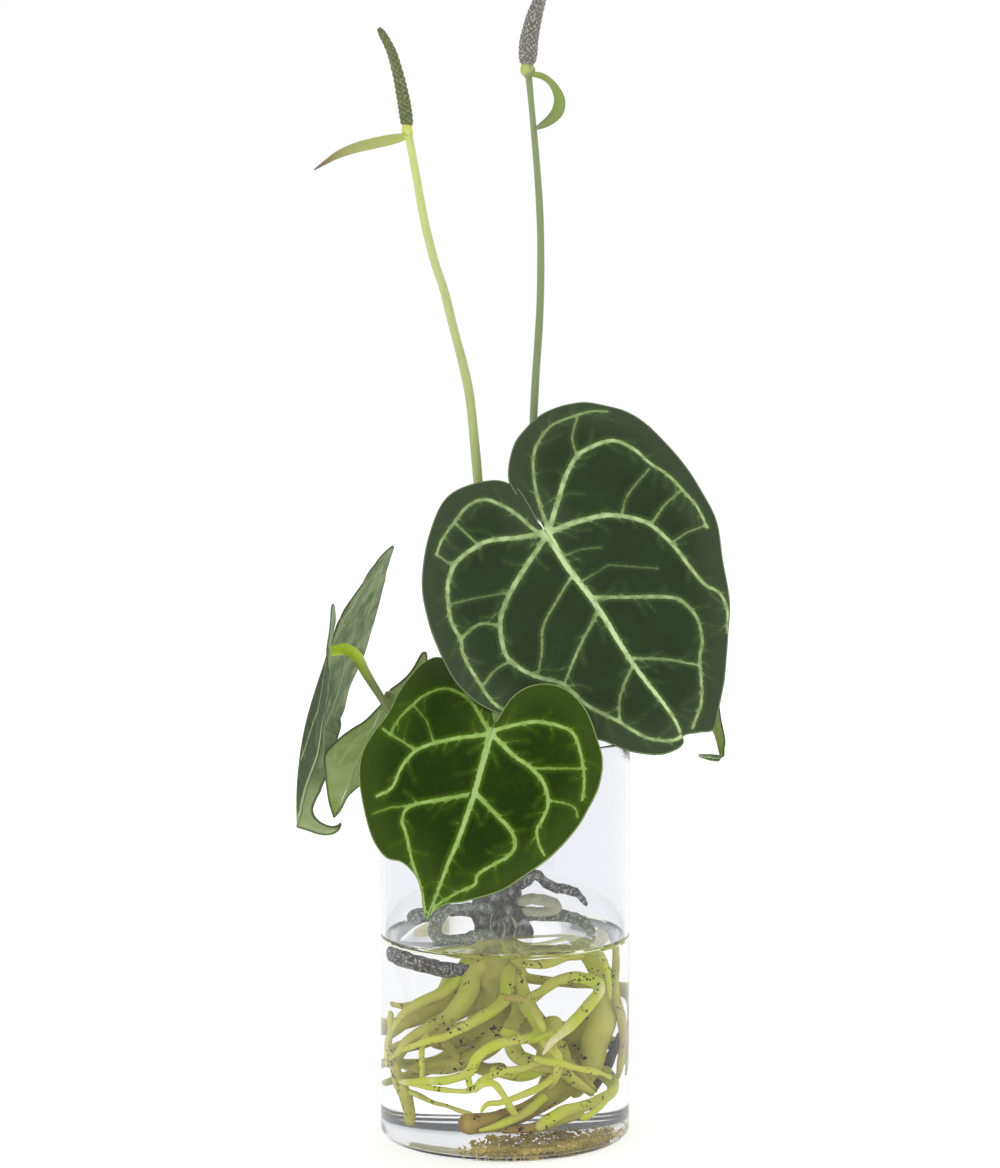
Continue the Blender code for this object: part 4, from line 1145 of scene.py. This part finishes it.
# Flower stalks: two long thin bare stalks that grow from the top of the rootstock past
# the leaves, the left one pale yellow-green and the right one a duller olive.
pale_stalk = stalk_finish("flower_stalk_pale", [
    (0.0, (0.30, 0.38, 0.12)), (1.0, (0.64, 0.66, 0.12)), (0.6, (0.50, 0.57, 0.24)),
    (0.9, (0.62, 0.70, 0.22))])
olive_stalk = stalk_finish("flower_stalk_olive", [
    (0.0, (0.16, 0.20, 0.08)), (1.0, (0.40, 0.50, 0.12)), (0.5, (0.24, 0.30, 0.13)),
    (0.7, (0.25, 0.31, 0.14)), (0.78, (0.42, 0.52, 0.14))])
FLOWER_STALKS = {
    "peduncle_left": (pale_stalk, [
        (-2, 0.5, 124, 3.0), (-3, 2, 180, 2.4), (-8, 5, 250, 2.35), (-12.9, 6, 313.7, 2.3),
        (-14.9, 7, 336, 2.25), (-17.1, 8, 355.5, 2.2), (-20.4, 8, 371, 2.15), (-24.4, 8, 386, 2.1),
        (-28.9, 8, 404, 2.1), (-33.8, 8, 419, 2.05), (-38.3, 7.5, 437.5, 2.0),
        (-42, 6.5, 458, 1.95), (-45.3, 6, 475.5, 1.9), (-46.0, 6, 477.6, 2.7),
        (-46.5, 6, 482.5, 2.3)]),
    "peduncle_right": (olive_stalk, [
        (5, 2, 124, 2.8), (8, 6, 180, 2.1), (11, 14, 250, 2.0), (13.7, 20, 343, 1.9),
        (16.9, 22, 400, 1.8), (16.4, 22, 447, 1.7), (11.3, 20.2, 506.4, 1.6),
        (11.0, 20, 508.4, 3.5), (10.6, 20, 510.6, 3.2), (10.4, 20, 513.0, 2.2)]),
}
for stalk_name, (stalk_colour, stalk_points) in FLOWER_STALKS.items():
    stalk = grown_body(stalk_name + "_stalk", [(0.0, 1.0, stalk_points)], step=0.8, sides=8,
                       lumps=0.08, lump_size=9.0)
    stalk.data.materials.append(stalk_colour)
    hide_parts(stalk_name)
    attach(stalk, "root")


# Flower spikes: a slim fleshy spike packed all round with tiny square florets, one dark
# green and curved, the other stouter and grey-brown, each standing on its stalk.
FLORET = 2.2
FLORET_RISE = 0.0003


def flower_spike(name, node, points, florets, finish):
    # florets is how many stand round the spike; "bud" is 1 on top of each and 0 between.
    rows = 160
    spike = grown_body(name, [(0.0, 1.0, points)], step=route_length(points) / (rows + 0.5),
                       sides=26)
    work = bmesh.new()
    work.from_mesh(spike.data)
    work.normal_update()
    bud = work.verts.layers.float.new("bud")
    share = work.verts.layers.float["along"]
    line = smooth_line(points, rows)[:, :3] / 1000
    length = float(np.hypot.reduce(np.diff(line, axis=0), axis=1).sum()) * 1000
    moves = []
    for vert in work.verts:
        step = min(int(vert[share] * (rows - 1)), rows - 2)
        ahead = Vector(line[step + 1] - line[step]).normalized()
        out = vert.co - Vector(line[step])
        gap = max((Vector(line[step + 1]) - Vector(line[step])).length, 1e-9)
        place = (step + out.dot(ahead) / gap) / (rows - 1) * length
        side = Vector((0.0, -1.0, 0.0))
        side = (side - side.dot(ahead) * ahead).normalized()
        angle = math.atan2(out.dot(ahead.cross(side)), out.dot(side))
        p = place / FLORET
        q = angle / math.tau * florets
        bump = math.cos(math.pi * (p + q)) * math.cos(math.pi * (p - q))
        vert[bud] = abs(bump)
        moves.append(vert.normal * (abs(bump) - 0.4) * FLORET_RISE)
    for vert, move in zip(work.verts, moves):
        vert.co += move
    work.to_mesh(spike.data)
    work.free()
    spike.data.shade_smooth()
    spike.data.materials.append(finish)
    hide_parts(node)
    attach(spike, "root")


def spike_finish(name, gap, floret, tip, speck):
    # Dark gaps, lighter florets, a tip of its own colour and pale dust on the florets.
    finish, tree = new_finish(name)
    bud = layer(tree, "bud")
    dust = noise(tree, object_place(tree), 1100.0, 3.0, 0.7)
    light = reckon(tree, "MULTIPLY", fade(tree, dust, 0.50, 0.60),
                   fade(tree, bud, 0.0, 0.5, 0.3, 1.0))
    colour = blend(tree, fade(tree, bud, 0.1, 0.7), gap, floret)
    colour = blend(tree, fade(tree, layer(tree, "along"), 0.7, 1.0, 0.0, 0.8), colour, tip)
    colour = blend(tree, reckon(tree, "MULTIPLY", light, 0.85), colour, speck)
    set_shader(tree, {"Base Color": colour, "Roughness": 0.6})
    return finish


green_spike = spike_finish(
    "green_spike", gap=(0.08, 0.10, 0.034), floret=(0.13, 0.155, 0.052),
    tip=(0.11, 0.12, 0.038), speck=(0.30, 0.34, 0.14))
brown_spike = spike_finish(
    "brown_spike", gap=(0.10, 0.09, 0.075), floret=(0.19, 0.18, 0.155),
    tip=(0.27, 0.20, 0.165), speck=(0.62, 0.61, 0.55))
flower_spike("left_spike", "spadix_left", [
    (-46.4, 6, 482.1, 2), (-46.4, 6, 483.3, 2.9), (-47.1, 6, 488.3, 3.1),
    (-47.8, 6, 493.0, 3.05), (-48.9, 6, 498.6, 2.9), (-50.1, 6, 504.4, 2.65),
    (-51.8, 6, 510.7, 2.45), (-53.5, 6, 516.3, 2.25), (-56.0, 6, 521.5, 2),
    (-58.2, 6, 525.3, 1.7), (-59.7, 6, 527.5, 0.9)],
    florets=6, finish=green_spike)
flower_spike("right_spike", "spadix_right", [
    (10.6, 20, 511.3, 2.4), (10.7, 20, 513.4, 3.9), (11.0, 20, 518, 4.5), (11.4, 20, 523, 4.4),
    (12.4, 20, 528, 4.1), (13.8, 20, 534, 3.8), (15.6, 20, 539.5, 3.3), (17.0, 20, 543.5, 2.8),
    (18.2, 20, 547, 1.9), (18.9, 20, 549, 0.7)],
    florets=10, finish=brown_spike)


# Bracts: one narrow leaf-like bract at the foot of each spike. The left one stands out
# sideways, drying brown at its tip; the right one has curled back and down.
BRACT_THICKNESS = 0.0005


def bract(name, node, points, across, cup, finish):
    # points: (x, y, z, half-width); across gives the way the blade is turned at its foot
    # and at its tip; cup bends the two edges towards the face.
    rows = 90
    line = smooth_line(points, rows + 1)
    work = bmesh.new()
    bmesh.ops.create_grid(work, x_segments=12, y_segments=rows, size=1.0)
    share = work.verts.layers.float.new("along")
    off = work.verts.layers.float.new("off")
    for vert in work.verts:
        row = round((vert.co.y + 1) / 2 * rows)
        ahead = Vector(line[min(row + 1, rows)][:3] - line[max(row - 1, 0)][:3]).normalized()
        side = Vector(across[0]).lerp(Vector(across[1]), row / rows)
        side = (side - side.dot(ahead) * ahead).normalized()
        out = side.cross(ahead)
        reach = vert.co.x
        vert[share] = row / rows
        vert[off] = reach
        vert.co = (Vector(line[row][:3]) + side * reach * line[row][3]
                   + out * cup * reach * reach * line[row][3]) / 1000
    piece = smooth_object(name, work)
    piece.data.materials.append(finish)
    body = piece.modifiers.new("thickness", "SOLIDIFY")
    body.thickness = BRACT_THICKNESS
    body.offset = 0.0
    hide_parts(node)
    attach(piece, "root")


def bract_finish(name, foot, middle, tip):
    # Three colours from foot to tip, with fine darker ribs along the blade.
    finish, tree = new_finish(name)
    across_blade = add_node(tree, "CombineXYZ", {"X": layer(tree, "off")}).outputs["Vector"]
    rib = add_node(tree, "TexWave", {"Vector": across_blade, "Scale": 0.9, "Distortion": 0.6})
    colour = blend(tree, fade(tree, rib.outputs["Fac"], 0.2, 0.9, 0.0, 0.7),
                   colour_steps(tree, layer(tree, "along"),
                                [(0.05, foot), (1.0, tip), (0.6, middle)]),
                   (0.82, 0.85, 0.74), "MULTIPLY")
    set_shader(tree, {"Base Color": colour, "Roughness": 0.45})
    return finish


dry_tip = bract_finish("bract_drying", foot=(0.46, 0.53, 0.13), middle=(0.42, 0.44, 0.16),
                       tip=(0.16, 0.09, 0.045))
curled = bract_finish("bract_curled", foot=(0.27, 0.34, 0.085), middle=(0.24, 0.32, 0.07),
                      tip=(0.19, 0.24, 0.09))
bract("left_bract", "spathe_left", [
    (-45.5, 4.6, 477.2, 1.2), (-50, 4.3, 476.4, 2.2), (-55, 4, 475.4, 2.7), (-64.8, 4, 473.3, 2.8),
    (-72, 3.5, 471.3, 2.6), (-79.4, 3, 468.2, 2.0), (-84.5, 2.6, 464.9, 1.2),
    (-90, 2, 461.0, 0.25)],
    across=((0.2, -0.5, 0.85), (0.2, -0.5, 0.85)), cup=0.35, finish=dry_tip)
bract("right_bract", "spathe_right", [
    (10.7, 18.6, 507.6, 1.3), (13.8, 17.8, 506.8, 1.5), (17.3, 17, 505.8, 1.8),
    (20.4, 16.6, 503.9, 1.9), (23.0, 16.4, 500.8, 2.3), (24.9, 16.2, 496.8, 3),
    (25.3, 16.2, 492.8, 3.5), (24.1, 16.4, 488.8, 3.4), (20.9, 16.8, 485.3, 2.6),
    (17.1, 17.4, 482.7, 1.6), (14.0, 18, 480.9, 0.3)],
    across=((0.5, -0.6, 0.6), (0.6, -0.4, -0.7)), cup=0.3, finish=curled)


# Debris: fine brown grit and shreds of bark that have settled on the vase's floor. They
# lie loose in an arc round its front and right, piled against the glass.
GRAINS = 2600
random.seed(4)
grit_work = bmesh.new()
for grain in range(GRAINS):
    if grain % 4:
        turn = math.radians(random.triangular(-112, -15, -58))
        reach = random.triangular(0.036, 0.0555, 0.052)
    else:
        turn = math.radians(random.uniform(-116, 8))
        reach = random.uniform(0.010, 0.0545)
    size = random.uniform(0.0003, 0.0011)
    tilt = Matrix.Rotation(random.uniform(0, 3.1), 4, Vector((random.random(), 1, 0.4)))
    shape = Matrix.Diagonal((size * random.uniform(1.0, 2.2), size, size * 0.55, 1.0))
    climb = max(0.0, reach - 0.0515) ** 2 * 110
    place = Matrix.Translation((reach * math.cos(turn), reach * math.sin(turn),
                                FLOOR_INSIDE + 0.0005 + climb + random.uniform(0, 0.0016)))
    bmesh.ops.create_icosphere(grit_work, subdivisions=1, radius=1.0,
                               matrix=place @ tilt @ shape)
grit = smooth_object("floor_grit", grit_work)
grit.data.shade_flat()
grit.data.materials.append(root_finish("settled_grit", [
    (0.0, (0.58, 0.48, 0.16)), (0.14, (0.36, 0.28, 0.08))], speck_from=0.64, grain=0.2))
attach(grit, "root")


# The table: a plain white floor that only carries the vase and its faint shadow. Seen
# through the vase's foot, the part under and near it glows to be as white as the rest.
TABLE_HALF_WIDTH = 6.0
TABLE_TOP = -0.0002
TABLE_GLOW = 0.32
GLOW_THROUGH_GLASS = 0.22
GLOW_UNDER_VASE = 0.45

table_work = bmesh.new()
bmesh.ops.create_grid(table_work, x_segments=1, y_segments=1, size=TABLE_HALF_WIDTH)
table = smooth_object("white_table", table_work)
table_paint, table_tree = new_finish("white_paint")
through_glass = add_node(table_tree, "LightPath", {}).outputs["Is Transmission Ray"]
table_glow = spread(table_tree, through_glass, 0.0, 1.0, TABLE_GLOW, GLOW_THROUGH_GLASS)
from_vase = vector_sum(table_tree, "LENGTH", object_place(table_tree)).outputs["Value"]
under_vase = reckon(table_tree, "MULTIPLY", spread(table_tree, from_vase, 0.16, 0.07),
                    through_glass)
set_shader(table_tree, {
    "Base Color": (0.9, 0.9, 0.9), "Roughness": 1.0, "Specular IOR Level": 0.0,
    "Emission Color": (1.0, 1.0, 1.0),
    "Emission Strength": reckon(table_tree, "MULTIPLY_ADD", under_vase, GLOW_UNDER_VASE,
                                table_glow)})
table.location.z = TABLE_TOP
table.data.materials.append(table_paint)
